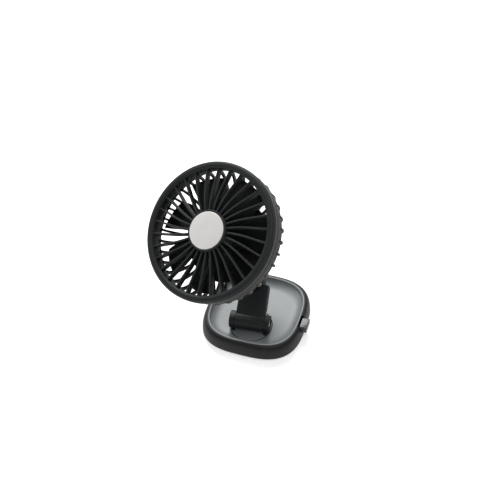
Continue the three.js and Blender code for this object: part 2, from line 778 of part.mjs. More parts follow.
/** The front half of the arm: knuckle, channel and swivel collar. */
function armFront() {
  const wide = knuckleHalf;
  const narrow = wide - ARM.taper;
  const end = ARM.length + 1;
  const outline = [
    [-wide, 0], [wide, 0], [wide, armBodyStart], [narrow, end], [-narrow, end], [-wide, armBodyStart],
  ];
  const sideTop = ARM.back - ARM.coverThickness - GAP;
  const channel = slab(outline, -sideTop, ARM.front).rotateX(Math.PI / 2);
  const knuckle = crossRod(armKnuckleRadius, -knuckleHalf, knuckleHalf, 32);
  const collar = rod(collarRadius, ARM.length, collarTop, 32);
  const inner = narrow - ARM.wall;
  const hollow = block(
    [-inner, -ARM.front + ARM.wall, armBodyStart + 1],
    [inner, ARM.back + 1, ARM.length - 1],
  );
  const posts = ARM.screwReach.map((reach) => (
    rod(ARM_SCREW.post, -sideTop, ARM.front - ARM.wall / 2, 16).rotateX(Math.PI / 2).translate(0, 0, reach)
  ));
  const shell = join(cut(join(channel, knuckle, collar), hollow), ...posts);
  const bore = rod(COLLAR.bore, ARM.length - 2, collarTop + GAP, 24);
  const sinkRadius = COLLAR.bore + COLLAR.counterboreStep;
  const counterbore = rod(sinkRadius, ARM.length - 1.5, clipBottom + CLIP.thickness + GAP, 24);
  const hinge = crossRod(HINGE.shank + GAP, -knuckleHalf - 1, knuckleHalf + 1, 16);
  const washerSinks = [-1, 1].map((side) => (
    rod(HINGE.washerRadius + GAP, knuckleHalf - HINGE.washerThickness - GAP, knuckleHalf + GAP, 24)
      .rotateY((side * Math.PI) / 2)
  ));
  const pilots = ARM.screwReach.map((reach) => (
    rod(ARM_SCREW.shank + GAP, -sideTop - GAP, armScrewTip + GAP, 8)
      .rotateX(Math.PI / 2)
      .translate(0, 0, reach)
  ));
  return cut(shell, bore, counterbore, hinge, ...washerSinks, ...pilots);
}

const armKnuckleRadius = HINGE.earRadius - ARM.knuckleStep;

/** The back cover of the arm. */
function armBack() {
  const wide = knuckleHalf;
  const narrow = wide - ARM.taper;
  const start = armBodyStart + 1;
  const end = ARM.length - ARM.coverEndGap;
  const outline = [[-wide, start], [wide, start], [narrow, end], [-narrow, end]];
  const plate = slab(outline, -ARM.back, ARM.coverThickness - ARM.back).rotateX(Math.PI / 2);
  const holes = ARM.screwReach.flatMap((reach) => [
    rod(ARM_SCREW.shank + GAP, -ARM.back - 1, 0, 12).rotateX(Math.PI / 2).translate(0, 0, reach),
    rod(ARM_SCREW.head + GAP, -ARM.back - 1, armScrewSeat + GAP - ARM.back, 16).rotateX(Math.PI / 2)
      .translate(0, 0, reach),
  ]);
  return cut(plate, ...holes);
}

const armScrewSeat = ARM_SCREW.headHeight + ARM_SCREW.sink;
const armScrewTip = armScrewSeat + ARM_SCREW.length - ARM.back;

/** The arm and all that folds with it. */
function armGroup() {
  const group = new THREE.Group();
  group.position.set(0, HINGE.offsetY, hingeHeight);
  group.rotation.x = -radians(POSE.lean);
  group.add(
    piece('arm_front', armFront(), 'charcoal'),
    piece('arm_back', armBack(), 'charcoal'),
    piece('hinge_washer_left', hingeWasher(-1), 'nylon'),
    piece('hinge_washer_right', hingeWasher(1), 'nylon'),
  );
  ARM.screwReach.forEach((reach, number) => {
    const bolt = piece(`arm_screw_${number + 1}`, screw(ARM_SCREW), 'steel');
    bolt.rotation.x = -Math.PI / 2;
    bolt.position.set(0, ARM.back - armScrewSeat, reach);
    group.add(bolt);
  });
  group.add(knuckleGroup());
  return group;
}

// ---------------------------------------------------------------- swivel knuckle and head yoke

/** The knuckle: a stem in the arm's collar, a flange on it and a cross barrel for the tilt screw. */
function swivelKnuckle() {
  const flangeBottom = collarTop + GAP;
  const flangeTop = flangeBottom + TILT.flangeThickness;
  const grooveBottom = clipBottom - GAP;
  const grooveTop = clipBottom + CLIP.thickness + GAP;
  const spindle = turned([
    [0, grooveBottom - 1], [stemRadius, grooveBottom - 1], [stemRadius, grooveBottom],
    [grooveRadius, grooveBottom], [grooveRadius, grooveTop], [stemRadius, grooveTop],
    [stemRadius, flangeBottom], [collarRadius, flangeBottom], [collarRadius, flangeTop], [0, flangeTop],
  ], 24);
  const neck = block([-TILT.neck, -TILT.neck, flangeTop - GAP], [TILT.neck, TILT.neck, TILT.reach]);
  const barrel = crossRod(TILT.barrelRadius, -TILT.barrelHalf, TILT.barrelHalf, 28);
  const bore = crossRod(TILT.shank + GAP, -TILT.barrelHalf - 1, TILT.barrelHalf + 1, 16);
  const wireWay = rod(TILT.wireHole, grooveBottom - 2, flangeBottom + GAP, 12);
  const body = join(spindle, neck, barrel.translate(0, 0, TILT.reach));
  return cut(body, bore.translate(0, 0, TILT.reach), wireWay);
}

/** The clip in the stem's groove that keeps the knuckle in the collar. */
function swivelClip() {
  const inner = grooveRadius + GAP;
  const ring = tube(clipOuter, inner, clipBottom, clipBottom + CLIP.thickness, 24);
  const opening = block([-CLIP.slot / 2, 0, clipBottom - 1], [CLIP.slot / 2, clipOuter + 1, clipBottom + 2]);
  return cut(ring, opening);
}

/** The knuckle and all that swivels with it. */
function knuckleGroup() {
  const group = new THREE.Group();
  group.rotation.z = radians(POSE.swivel);
  group.add(
    piece('swivel_knuckle', swivelKnuckle(), 'black'),
    piece('swivel_clip', swivelClip(), 'steel'),
    headGroup(),
  );
  return group;
}

// The head is modelled with its axis along +Z, +Z to the front, the ring's front plane at height 0.

const yokeEarInner = TILT.barrelHalf + GAP;
const yokeEarOuter = yokeEarInner + TILT.earWidth;
const yokeFlangeFront = bumpBack - GAP;
const tiltHeadSeat = yokeEarOuter - TILT.headHeight - FASTENER.sink;
const tiltNutSeat = yokeEarOuter - TILT.nutHeight - FASTENER.sink;

/** The yoke that carries the head on the knuckle. */
function headYoke() {
  const flangeBack = yokeFlangeFront - YOKE.flangeThickness;
  const mouthFront = YOKE.mouth - HEAD.reach;
  const flange = rod(bumpRadius - YOKE.flangeInset, flangeBack, yokeFlangeFront, 32);
  const coneRadius = YOKE.bodyRadius + YOKE.bodyFlare;
  const coneFront = flangeBack + GAP;
  const cone = turned([
    [0, mouthFront], [YOKE.bodyRadius, mouthFront], [coneRadius, coneFront], [0, coneFront],
  ], 28);
  const ears = [-1, 1].map((side) => {
    const [left, right] = side < 0 ? [-yokeEarOuter, -yokeEarInner] : [yokeEarInner, yokeEarOuter];
    const eye = crossRod(TILT.barrelRadius, left, right, 24).translate(0, 0, -HEAD.reach);
    const cheek = block(
      [left, -YOKE.bodyHalfHeight, -HEAD.reach],
      [right, YOKE.bodyHalfHeight, mouthFront + YOKE.cheekLap],
    );
    return join(eye, cheek);
  });
  const bore = crossRod(TILT.shank + GAP, -yokeEarOuter - 1, yokeEarOuter + 1, 16);
  const headSink = crossRod(TILT.headRadius + GAP, tiltHeadSeat - GAP, yokeEarOuter + 1, 20);
  const nutSink = crossRod(TILT.nutRadius + GAP, -yokeEarOuter - 1, GAP - tiltNutSeat, 6);
  const cross = [bore, headSink, nutSink].map((tool) => tool.translate(0, 0, -HEAD.reach));
  const wireWay = rod(YOKE.wireHole, mouthFront - 1, yokeFlangeFront + 1, 16);
  const holes = yokeScrewPlaces().map(([x, y]) => (
    rod(YOKE_SCREW.shank + GAP, flangeBack - 1, yokeFlangeFront + 1, 12).translate(x, y, 0)
  ));
  return cut(join(flange, cone, ...ears), ...cross, wireWay, ...holes);
}

/** Centres of the three screws through the yoke's flange. */
function yokeScrewPlaces() {
  return [90, 210, 330].map((angle) => (
    [YOKE.screwReach * Math.cos(radians(angle)), YOKE.screwReach * Math.sin(radians(angle))]
  ));
}

/** The tilt screw through the yoke and the knuckle. */
function tiltScrew() {
  const end = tiltHeadSeat + TILT.headHeight;
  const head = crossRod(TILT.headRadius, tiltHeadSeat, end, 20);
  const shank = crossRod(TILT.shank, FASTENER.endInset - yokeEarOuter, tiltHeadSeat + GAP, 16);
  const socketFloor = tiltHeadSeat + TILT.headHeight * FASTENER.socketFloor;
  const socket = crossRod(TILT.headRadius * FASTENER.socketWidth, socketFloor, end + GAP, 6);
  return cut(join(head, shank), socket);
}

/** The hexagonal nut of the tilt screw. */
function tiltNut() {
  const outer = tiltNutSeat + TILT.nutHeight;
  const hexagon = crossRod(TILT.nutRadius, -outer, -tiltNutSeat, 6);
  return cut(hexagon, crossRod(TILT.shank + GAP, -outer - 1, 1 - tiltNutSeat, 16));
}

// ---------------------------------------------------------------- front grille

/** Height of the front edge of a guard blade at a radius: a shallow dome. */
function domeHeight(radius) {
  const along = (radius - HUB.radius) / (ringInner - HUB.radius);
  return BLADE_GUARD.outerFront + BLADE_GUARD.dome * (1 - along * along);
}

/** One deep, thin guard blade from the hub to the ring, gently swept. */
function guardBlade() {
  const { thickness, depth, sweep, steps } = BLADE_GUARD;
  const start = HUB.radius - 1;
  const end = ringInner + 1;
  const left = [];
  const right = [];
  for (let step = 0; step <= steps; step += 1) {
    const along = step / steps;
    const radius = start + (end - start) * along;
    const turn = -radians(sweep) * along * along * (3 - 2 * along);
    const half = thickness / 2 / radius;
    left.push([radius * Math.cos(turn - half), radius * Math.sin(turn - half)]);
    right.unshift([radius * Math.cos(turn + half), radius * Math.sin(turn + half)]);
  }
  const blade = slab([...left, ...right], -depth, 0);
  const position = blade.getAttribute('position');
  for (let i = 0; i < position.count; i += 1) {
    const radius = Math.hypot(position.getX(i), position.getY(i));
    position.setZ(i, position.getZ(i) + domeHeight(radius));
  }
  return blade;
}

/** The front grille: ring with its spigot, guard blades and hub in one moulding. */
function frontGrille() {
  const edge = HEAD.ringRound;
  const ring = turned([
    [ringInner, -edge], [ringInner + edge, -HEAD.ringCrown], [(ringInner + HEAD.ringOuter) / 2, 0],
    [HEAD.ringOuter - edge, -HEAD.ringCrown], [HEAD.ringOuter, -edge], [HEAD.ringOuter, -HEAD.ringDepth],
    [spigotOuter, -HEAD.ringDepth], [spigotOuter, -HEAD.spigotDepth], [spigotInner, -HEAD.spigotDepth],
    [ringInner, -HEAD.ringDepth],
  ], HEAD.segments);
  const rimTop = HUB.front + HUB.rimHeight;
  const hub = turned([
    [0, HUB.front - HUB.depth], [HUB.radius, HUB.front - HUB.depth], [HUB.radius, rimTop - HUB.bevel],
    [HUB.radius - HUB.bevel, rimTop], [HUB.radius - HUB.rim, rimTop],
    [HUB.radius - HUB.rim, HUB.front], [0, HUB.front],
  ], 36);
  const pitch = (2 * Math.PI) / BLADE_GUARD.count;
  const numbers = [...Array(BLADE_GUARD.count).keys()];
  const blades = numbers.map((number) => guardBlade().rotateZ(number * pitch));
  return join(ring, hub, ...blades);
}

/** The plain satin badge in the hub. */
function hubBadge() {
  const radius = HUB.radius - HUB.rim - GAP;
  const bottom = HUB.front + GAP;
  const top = bottom + BADGE.thickness;
  return closed(turned([
    [0, bottom], [radius, bottom], [radius, top - BADGE.bevel], [radius - BADGE.bevel, top], [0, top],
  ], 36));
}

// ---------------------------------------------------------------- rear housing

/** Points of the cage's outline in the [radius, height] plane, inset by a depth. */
function cageCurve(inset) {
  const bandEnd = -(HEAD.ringDepth + GAP * 2 + HOUSING.bandDepth);
  const radial = bandOuter - ribFoot - inset;
  const axial = HOUSING.depth + bandEnd - inset;
  const points = [];
  for (let step = 0; step <= HOUSING.steps; step += 1) {
    const angle = (Math.PI / 2) * (step / HOUSING.steps);
    const power = 2 / HOUSING.cornerPower;
    points.push([
      ribFoot + radial * Math.cos(angle) ** power,
      bandEnd - axial * Math.sin(angle) ** power,
    ]);
  }
  return points;
}

/** One rib of the cage, from the band round the rear edge to the centre plate. */
function cageRib() {
  const outer = cageCurve(0);
  const inner = cageCurve(HOUSING.ribHeight).reverse();
  const ribFront = outer[0][1] + HOUSING.ribLap;
  const bandSide = [bandOuter, ribFront];
  const bandInside = [bandOuter - HOUSING.ribHeight, ribFront];
  const half = HOUSING.ribThickness / 2;
  const rib = slab([bandSide, ...outer, ...inner, bandInside], -half, half);
  return rib.rotateX(Math.PI / 2);
}

/** The rear housing: band, ribs, centre plate, motor cup and the bump that the yoke is screwed to. */
function rearHousing() {
  const bandFront = -(HEAD.ringDepth + GAP * 2);
  const bandBack = bandFront - HOUSING.bandDepth;
  const band = tube(bandOuter, bandInner, bandBack, bandFront, HEAD.segments);
  const cupOuter = cupInner + MOTOR.cupWall;
  const cupBottom = motorCapBack - GAP;
  const centre = turned([
    [0, bumpBack], [bumpRadius, bumpBack], [bumpRadius, housingBack],
    [HOUSING.plateRadius, housingBack], [HOUSING.plateRadius, housingBack + HOUSING.plateThickness],
    [cupOuter, housingBack + HOUSING.plateThickness], [cupOuter, MOTOR.front - 1],
    [cupInner, MOTOR.front - 1], [cupInner, cupBottom], [0, cupBottom],
  ], 40);
  const pitch = (2 * Math.PI) / HOUSING.ribs;
  const numbers = [...Array(HOUSING.ribs).keys()];
  const ribs = numbers.map((number) => cageRib().rotateZ(number * pitch));
  const yokeHoles = yokeScrewPlaces().map(([x, y]) => (
    rod(YOKE_SCREW.shank + GAP, bumpBack - 1, yokeScrewTip + GAP, 12).translate(x, y, 0)
  ));
  const wireWay = rod(YOKE.wireHole, bumpBack - 1, cupBottom + 1, 16);
  const motorHoles = motorScrewPlaces().flatMap(([x, y]) => [
    rod(MOTOR_SCREW.shank + GAP, bumpBack - 1, cupBottom + 1, 8).translate(x, y, 0),
    rod(MOTOR_SCREW.head + GAP, bumpBack - 1, motorScrewSeat + GAP, 10).translate(x, y, 0),
  ]);
  return cut(join(band, centre, ...ribs), ...yokeHoles, ...motorHoles, wireWay);
}

/** Centres of the two screws from the bump into the motor's end cap. */
function motorScrewPlaces() {
  return [[MOTOR_SCREW.reach, 0], [-MOTOR_SCREW.reach, 0]];
}

const motorScrewSeat = bumpBack + MOTOR_SCREW.headHeight;
const motorScrewTip = motorScrewSeat + MOTOR_SCREW.length;
const yokeScrewSeat = yokeFlangeFront - YOKE.flangeThickness - GAP;
const yokeScrewTip = yokeScrewSeat + YOKE_SCREW.length;

// ---------------------------------------------------------------- motor

/** The motor's drawn can, closed in front round the shaft. */
function motorCan() {
  const inner = MOTOR.radius - MOTOR.can;
  const hole = MOTOR.shaft + GAP;
  const nose = MOTOR.front + MOTOR.noseHeight;
  return closed(turned([
    [hole, nose], [MOTOR.noseRadius, nose], [MOTOR.noseRadius, MOTOR.front],
    [MOTOR.radius, MOTOR.front], [MOTOR.radius, motorBack],
    [inner, motorBack], [inner, MOTOR.front - MOTOR.can], [hole, MOTOR.front - MOTOR.can],
  ], 24));
}

/** The moulded cap that closes the can and carries the rear bearing. */
function motorEndCap() {
  const front = motorBack - GAP;
  const bearing = front - MOTOR.bearingDepth;
  const hole = MOTOR.shaft + GAP;
  const cap = turned([
    [0, motorCapBack], [MOTOR.radius, motorCapBack], [MOTOR.radius, front],
    [hole, front], [hole, bearing], [0, bearing],
  ], 24);
  const screwHoles = motorScrewPlaces().map(([x, y]) => (
    rod(MOTOR_SCREW.shank + GAP, motorCapBack - 1, motorScrewTip + GAP, 8).translate(x, y, 0)
  ));
  return cut(cap, ...screwHoles);
}

/** One curved magnet inside the can; side is -1 or 1. */
function motorMagnet(side) {
  const outer = MOTOR.radius - MOTOR.can - GAP;
  const inner = outer - MOTOR.magnetThickness;
  const front = MOTOR.front - MOTOR.can - 1;
  const ring = tube(outer, inner, front - MOTOR.magnetLength, front, 32);
  const reach = MOTOR.radius + 1;
  const gapHalf = inner * MOTOR.magnetGap;
  const keep = block([Math.min(0, side * reach), gapHalf - reach, front - MOTOR.magnetLength - 1],
    [Math.max(0, side * reach), reach - gapHalf, front + 1]);
  const spacing = block([-gapHalf, -reach, front - MOTOR.magnetLength - 1], [gapHalf, reach, front + 1]);
  return cut(common(ring, keep), spacing);
}

/** The wound armature with its commutator, on the shaft. */
function armature() {
  const front = MOTOR.front - MOTOR.can - 2;
  const back = front - MOTOR.armatureLength;
  const end = back - MOTOR.commutatorLength;
  const bore = MOTOR.shaft + GAP;
  const core = turned([
    [bore, front], [MOTOR.armatureRadius, front], [MOTOR.armatureRadius, back],
    [MOTOR.commutatorRadius, back], [MOTOR.commutatorRadius, end], [bore, end],
  ], 24);
  const slots = [0, 120, 240].map((angle) => (
    block(
      [MOTOR.armatureRadius - MOTOR.slotDepth, -MOTOR.slotHalf, back - 1],
      [MOTOR.armatureRadius + 1, MOTOR.slotHalf, front + 1],
    ).rotateZ(radians(angle))
  ));
  return cut(core, ...slots);
}

/** The shaft from the impeller's boss to the rear bearing. */
function motorShaft() {
  return closed(rod(MOTOR.shaft, motorBack - GAP - MOTOR.shaftLap, MOTOR.shaftFront, 16));
}

// ---------------------------------------------------------------- impeller

/** One pitched blade of the impeller. */
function impellerBlade() {
  const root = impellerHubRadius - 1;
  const span = tipRadius - root;
  const blade = new THREE.BoxGeometry(span, 1, IMPELLER.bladeThickness, 4, 3, 1);
  const position = blade.getAttribute('position');
  for (let i = 0; i < position.count; i += 1) {
    const outward = position.getX(i) / span + 0.5;
    const across = position.getY(i);
    const radius = root + span * outward;
    const roundedTip = 1 - IMPELLER.tipRound * outward * outward * (2 * Math.abs(across));
    const turn = radians(IMPELLER.bladeTurn * across * roundedTip + IMPELLER.tipLead * outward);
    const middle = IMPELLER.bladeFront - IMPELLER.bladeDepth / 2;
    const pitched = (IMPELLER.bladeDepth - IMPELLER.bladeThickness) * across;
    const rise = pitched * (1 - IMPELLER.tipFlattening * outward);
    position.setXYZ(i, radius * Math.cos(turn), radius * Math.sin(turn), middle + rise + position.getZ(i));
  }
  return blade;
}

/** The impeller: a cup over the motor's nose, a boss on the shaft and its blades. */
function impeller() {
  const back = IMPELLER.front - IMPELLER.hubDepth;
  const floor = IMPELLER.front - IMPELLER.hubWall;
  const inner = impellerHubRadius - IMPELLER.hubWall;
  const bore = MOTOR.shaft + GAP;
  const boreEnd = MOTOR.shaftFront + GAP;
  const bossEnd = floor - IMPELLER.bossDepth;
  const round = IMPELLER.cupRound;
  const cup = turned([
    [0, IMPELLER.front], [impellerHubRadius - round, IMPELLER.front],
    [impellerHubRadius, IMPELLER.front - round],
    [impellerHubRadius, back], [inner, back], [inner, floor], [IMPELLER.bossRadius, floor],
    [IMPELLER.bossRadius, bossEnd], [bore, bossEnd], [bore, boreEnd], [0, boreEnd],
  ], 36);
  const pitch = (2 * Math.PI) / IMPELLER.blades;
  const numbers = [...Array(IMPELLER.blades).keys()];
  const blades = numbers.map((number) => impellerBlade().rotateZ(number * pitch));
  const clearance = rod(inner, back - 1, floor, 36);
  return join(cup, ...blades.map((blade) => cut(blade, clearance)));
}

/** The head and all that tilts with it. */
function headGroup() {
  const group = new THREE.Group();
  group.position.set(0, 0, TILT.reach);
  group.rotation.x = -radians(POSE.tilt);
  const head = new THREE.Group();
  head.rotation.x = Math.PI / 2;
  head.position.set(0, -HEAD.reach, 0);
  const screwPiece = piece('tilt_screw', tiltScrew(), 'steel');
  const nutPiece = piece('tilt_nut', tiltNut(), 'steel');
  screwPiece.position.set(0, 0, -HEAD.reach);
  nutPiece.position.set(0, 0, -HEAD.reach);
  head.add(
    piece('head_yoke', headYoke(), 'black'),
    screwPiece,
    nutPiece,
    piece('rear_housing', rearHousing(), 'black'),
    piece('front_grille', frontGrille(), 'charcoal'),
    piece('hub_badge', hubBadge(), 'silver'),
    piece('motor_can', motorCan(), 'steel'),
    piece('motor_end_cap', motorEndCap(), 'nylon'),
    piece('motor_magnet_left', motorMagnet(-1), 'magnet'),
    piece('motor_magnet_right', motorMagnet(1), 'magnet'),
    piece('motor_armature', armature(), 'copper'),
    piece('motor_shaft', motorShaft(), 'steel'),
    piece('impeller', impeller(), 'black'),
  );
  yokeScrewPlaces().forEach(([x, y], number) => {
    const bolt = piece(`yoke_screw_${number + 1}`, screw(YOKE_SCREW), 'steel');
    bolt.rotation.x = Math.PI;
    bolt.position.set(x, y, yokeScrewSeat);
    head.add(bolt);
  });
  motorScrewPlaces().forEach(([x, y], number) => {
    const bolt = piece(`motor_screw_${number + 1}`, screw(MOTOR_SCREW), 'steel');
    bolt.rotation.x = Math.PI;
    bolt.position.set(x, y, motorScrewSeat);
    head.add(bolt);
  });
  group.add(head);
  return group;
}

// ---------------------------------------------------------------- the whole fan

const fan = new THREE.Group();
fan.name = 'folding_fan';
fan.add(baseGroup(), turntableGroup());

export default fan;
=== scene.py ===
"""A folding desk fan: its visible pieces, finishes and studio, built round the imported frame.

Every piece is modelled in millimetres in the frame of its own sub-assembly (base, turntable, arm,
knuckle or head) and put in place when it is finished. The frames come from the joints.
"""

import json
import logging
import math
from collections.abc import Callable, Iterable, Sequence
from dataclasses import dataclass
from enum import Enum

import bmesh
import bpy
from mathutils import Matrix, Vector


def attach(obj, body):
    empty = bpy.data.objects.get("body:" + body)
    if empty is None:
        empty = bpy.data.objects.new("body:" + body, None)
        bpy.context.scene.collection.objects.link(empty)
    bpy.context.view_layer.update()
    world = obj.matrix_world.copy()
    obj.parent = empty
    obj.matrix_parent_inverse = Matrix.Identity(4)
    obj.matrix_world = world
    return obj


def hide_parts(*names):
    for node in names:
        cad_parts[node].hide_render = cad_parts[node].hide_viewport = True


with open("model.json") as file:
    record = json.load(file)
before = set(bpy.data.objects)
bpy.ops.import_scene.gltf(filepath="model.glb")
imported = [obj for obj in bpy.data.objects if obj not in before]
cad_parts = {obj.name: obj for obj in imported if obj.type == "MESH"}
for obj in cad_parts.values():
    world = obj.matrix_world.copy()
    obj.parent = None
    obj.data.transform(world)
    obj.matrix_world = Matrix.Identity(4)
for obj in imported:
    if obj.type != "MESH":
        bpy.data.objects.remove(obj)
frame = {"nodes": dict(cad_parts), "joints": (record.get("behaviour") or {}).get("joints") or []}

MM = 0.001
GAP = 0.3  # between neighbouring pieces, mm
SMOOTH_LIMIT = math.radians(42)
Point = tuple[float, float]
Point3 = tuple[float, float, float]
log = logging.getLogger("fan")


# ---------------------------------------------------------------- shader graph


class Signal:
    """A number socket whose Python operators add Math nodes."""

    def __init__(self, graph: "Graph", socket: bpy.types.NodeSocket) -> None:
        """Wraps a socket of a graph."""
        self.graph = graph
        self.socket = socket

    def _math(self, operation: str, first: object, second: object = 0.0) -> "Signal":
        """Adds one Math node.

        Args:
            operation: The node's operation.
            first: Its first input, a signal or a number.
            second: Its second input, a signal or a number.

        Returns:
            The node's output.
        """
        node = self.graph.node("ShaderNodeMath", {"operation": operation}, {0: first, 1: second})
        return Signal(self.graph, node.outputs[0])

    def __add__(self, other: object) -> "Signal":
        """The sum."""
        return self._math("ADD", self, other)

    __radd__ = __add__

    def __sub__(self, other: object) -> "Signal":
        """The difference."""
        return self._math("SUBTRACT", self, other)

    def __rsub__(self, other: object) -> "Signal":
        """The difference, from the other."""
        return self._math("SUBTRACT", other, self)

    def __mul__(self, other: object) -> "Signal":
        """The product."""
        return self._math("MULTIPLY", self, other)

    __rmul__ = __mul__

    def __pow__(self, other: float) -> "Signal":
        """The power."""
        return self._math("POWER", self, other)

    def __abs__(self) -> "Signal":
        """The absolute value."""
        return self._math("ABSOLUTE", self)

    def ramp(self, low: float, high: float) -> "Signal":
        """A smooth step.

        Args:
            low: Where the result is 0; it may be the greater of the two.
            high: Where the result is 1.

        Returns:
            The step, from 0 to 1.
        """
        settings = {"interpolation_type": "SMOOTHSTEP"}
        sockets = {"Value": self, "From Min": low, "From Max": high}
        return Signal(self.graph, self.graph.node("ShaderNodeMapRange", settings, sockets).outputs[0])


class Graph:
    """The node tree of one material."""

    def __init__(self, name: str) -> None:
        """Starts a material with nothing but its output.

        Args:
            name: The material's name.
        """
        self.material = bpy.data.materials.new(name)
        self.material.use_nodes = True
        self.tree = self.material.node_tree
        self.tree.nodes.clear()
        self.output = self.node("ShaderNodeOutputMaterial", {}, {})
        self.coordinates = self.node("ShaderNodeTexCoord", {}, {}).outputs["Object"]

    def node(self, kind: str, settings: dict, sockets: dict) -> bpy.types.Node:
        """Adds a node.

        Args:
            kind: The node's type.
            settings: Its properties, set first.
            sockets: Values or links of its inputs, by name or number.

        Returns:
            The node.
        """
        node = self.tree.nodes.new(kind)
        for key, value in settings.items():
            setattr(node, key, value)
        for key, value in sockets.items():
            if isinstance(value, Signal):
                value = value.socket
            if isinstance(value, bpy.types.NodeSocket):
                self.tree.links.new(value, node.inputs[key])
            else:
                node.inputs[key].default_value = value
        return node

    def placed(self, matrix: Matrix, stretch: Point3 = (1, 1, 1)) -> bpy.types.NodeSocket:
        """Coordinates in a sub-assembly's own frame, in metres.

        Args:
            matrix: The frame.
            stretch: Factors along its axes.

        Returns:
            The vector socket.
        """
        inverse = matrix.inverted()
        turned = self.node(
            "ShaderNodeMapping",
            {"vector_type": "POINT"},
            {
                "Vector": self.coordinates,
                "Location": inverse.translation,
                "Rotation": inverse.to_euler(),
            },
        ).outputs[0]
        return self.node(
            "ShaderNodeVectorMath", {"operation": "MULTIPLY"}, {0: turned, 1: stretch}
        ).outputs[0]

    def parts(self, vector: bpy.types.NodeSocket) -> tuple[Signal, Signal, Signal]:
        """A vector's three numbers."""
        outputs = self.node("ShaderNodeSeparateXYZ", {}, {0: vector}).outputs
        return Signal(self, outputs[0]), Signal(self, outputs[1]), Signal(self, outputs[2])

    def noise(
        self, size: float, detail: float = 2.0, vector: bpy.types.NodeSocket | None = None
    ) -> Signal:
        """Soft noise from 0 to 1.

        Args:
            size: The width of its features, in millimetres.
            detail: Its octaves.
            vector: Coordinates other than the object's.

        Returns:
            The noise.
        """
        sockets = {"Vector": vector or self.coordinates, "Scale": 1 / (size * MM), "Detail": detail}
        return Signal(self, self.node("ShaderNodeTexNoise", {}, sockets).outputs[0])

    def cells(self, size: float) -> Signal:
        """Distance from the nearest point of a loose lattice; size is its pitch in millimetres."""
        sockets = {"Vector": self.coordinates, "Scale": 1 / (size * MM)}
        return Signal(self, self.node("ShaderNodeTexVoronoi", {}, sockets).outputs[0])

    def wear(self) -> Signal:
        """How far a point is on a worked edge, from the mesh's own attribute."""
        settings = {"attribute_name": "edge", "attribute_type": "GEOMETRY"}
        return Signal(self, self.node("ShaderNodeAttribute", settings, {}).outputs["Fac"])

    def blend(self, factor: Signal, first: object, second: object) -> bpy.types.NodeSocket:
        """A colour between two.

        Args:
            factor: 0 for the first, 1 for the second.
            first: A colour or a colour socket.
            second: A colour or a colour socket.

        Returns:
            The colour socket.
        """
        settings = {"data_type": "RGBA", "clamp_factor": True}
        return self.node("ShaderNodeMix", settings, {0: factor, 6: first, 7: second}).outputs[2]

    def surface(self, sockets: dict, height: Signal, depth: float) -> bpy.types.Material:
        """Ends the material in a Principled shader.

        Args:
            sockets: The shader's inputs.
            height: The relief, from 0 to 1.
            depth: The height of the relief, in millimetres.

        Returns:
            The material.
        """
        bump = self.node("ShaderNodeBump", {}, {"Height": height, "Distance": depth * MM, "Strength": 1.0})
        sockets = dict(sockets, Normal=bump.outputs[0])
        shader = self.node("ShaderNodeBsdfPrincipled", {}, sockets)
        self.tree.links.new(shader.outputs[0], self.output.inputs["Surface"])
        return self.material


def grey(level: float, red: float = 0.0, blue: float = 0.0) -> tuple[float, float, float, float]:
    """A near-grey colour.

    Args:
        level: Its brightness, linear.
        red: Share added to red and taken from blue.
        blue: Share added to blue and taken from red.

    Returns:
        The colour with alpha.
    """
    warm = red - blue
    return (level * (1 + warm), level * (1 + blue * 0.5), level * (1 - warm), 1.0)


# ---------------------------------------------------------------- finishes


@dataclass(frozen=True)
class Moulding:
    """Moulded plastic with a spark-eroded grain, handling marks and rubbed edges."""

    name: str
    level: float
    slot: str
    rough: float = 0.45
    tint: Point = (0.0, 0.06)
    grain: float = 0.35
    grain_depth: float = 0.02
    sheen_spread: float = 0.12
    rub: float = 0.5
    gloss: float = 0.0
    ior: float = 1.33
    reflection: float = 0.35

    def material(self) -> bpy.types.Material:
        """Builds the material.

        Returns:
            The material.
        """
        g = Graph(self.name)
        cloud = g.noise(14.0, 3.0)
        fine = g.noise(self.grain, 1.0)
        pits = g.cells(self.grain * 1.6)
        scuffs = g.noise(2.2, 4.0, g.placed(Matrix.Identity(4), (1.0, 1.0, 0.22))).ramp(0.62, 0.74)
        edge = g.wear()
        low = grey(self.level * 0.82, *self.tint)
        high = grey(self.level * 1.16, *self.tint)
        rubbed = grey(self.level * (1 + 2.2 * self.rub) + 0.012 * self.rub, *self.tint)
        colour = g.blend(cloud * 0.7 + fine * 0.3, low, high)
        colour = g.blend(edge * (0.35 + cloud * 0.5), colour, rubbed)
        rough = self.rough - self.sheen_spread / 2 + cloud * self.sheen_spread
        rough = rough + fine * 0.06 + scuffs * 0.08 - edge * 0.08
        sockets = {"Base Color": colour, "Roughness": rough, "IOR": self.ior}
        sockets["Specular IOR Level"] = self.reflection
        if self.gloss:
            sockets.update({"Coat Weight": self.gloss, "Coat Roughness": 0.12})
        return g.surface(sockets, fine * 0.6 + pits * 0.4, self.grain_depth)


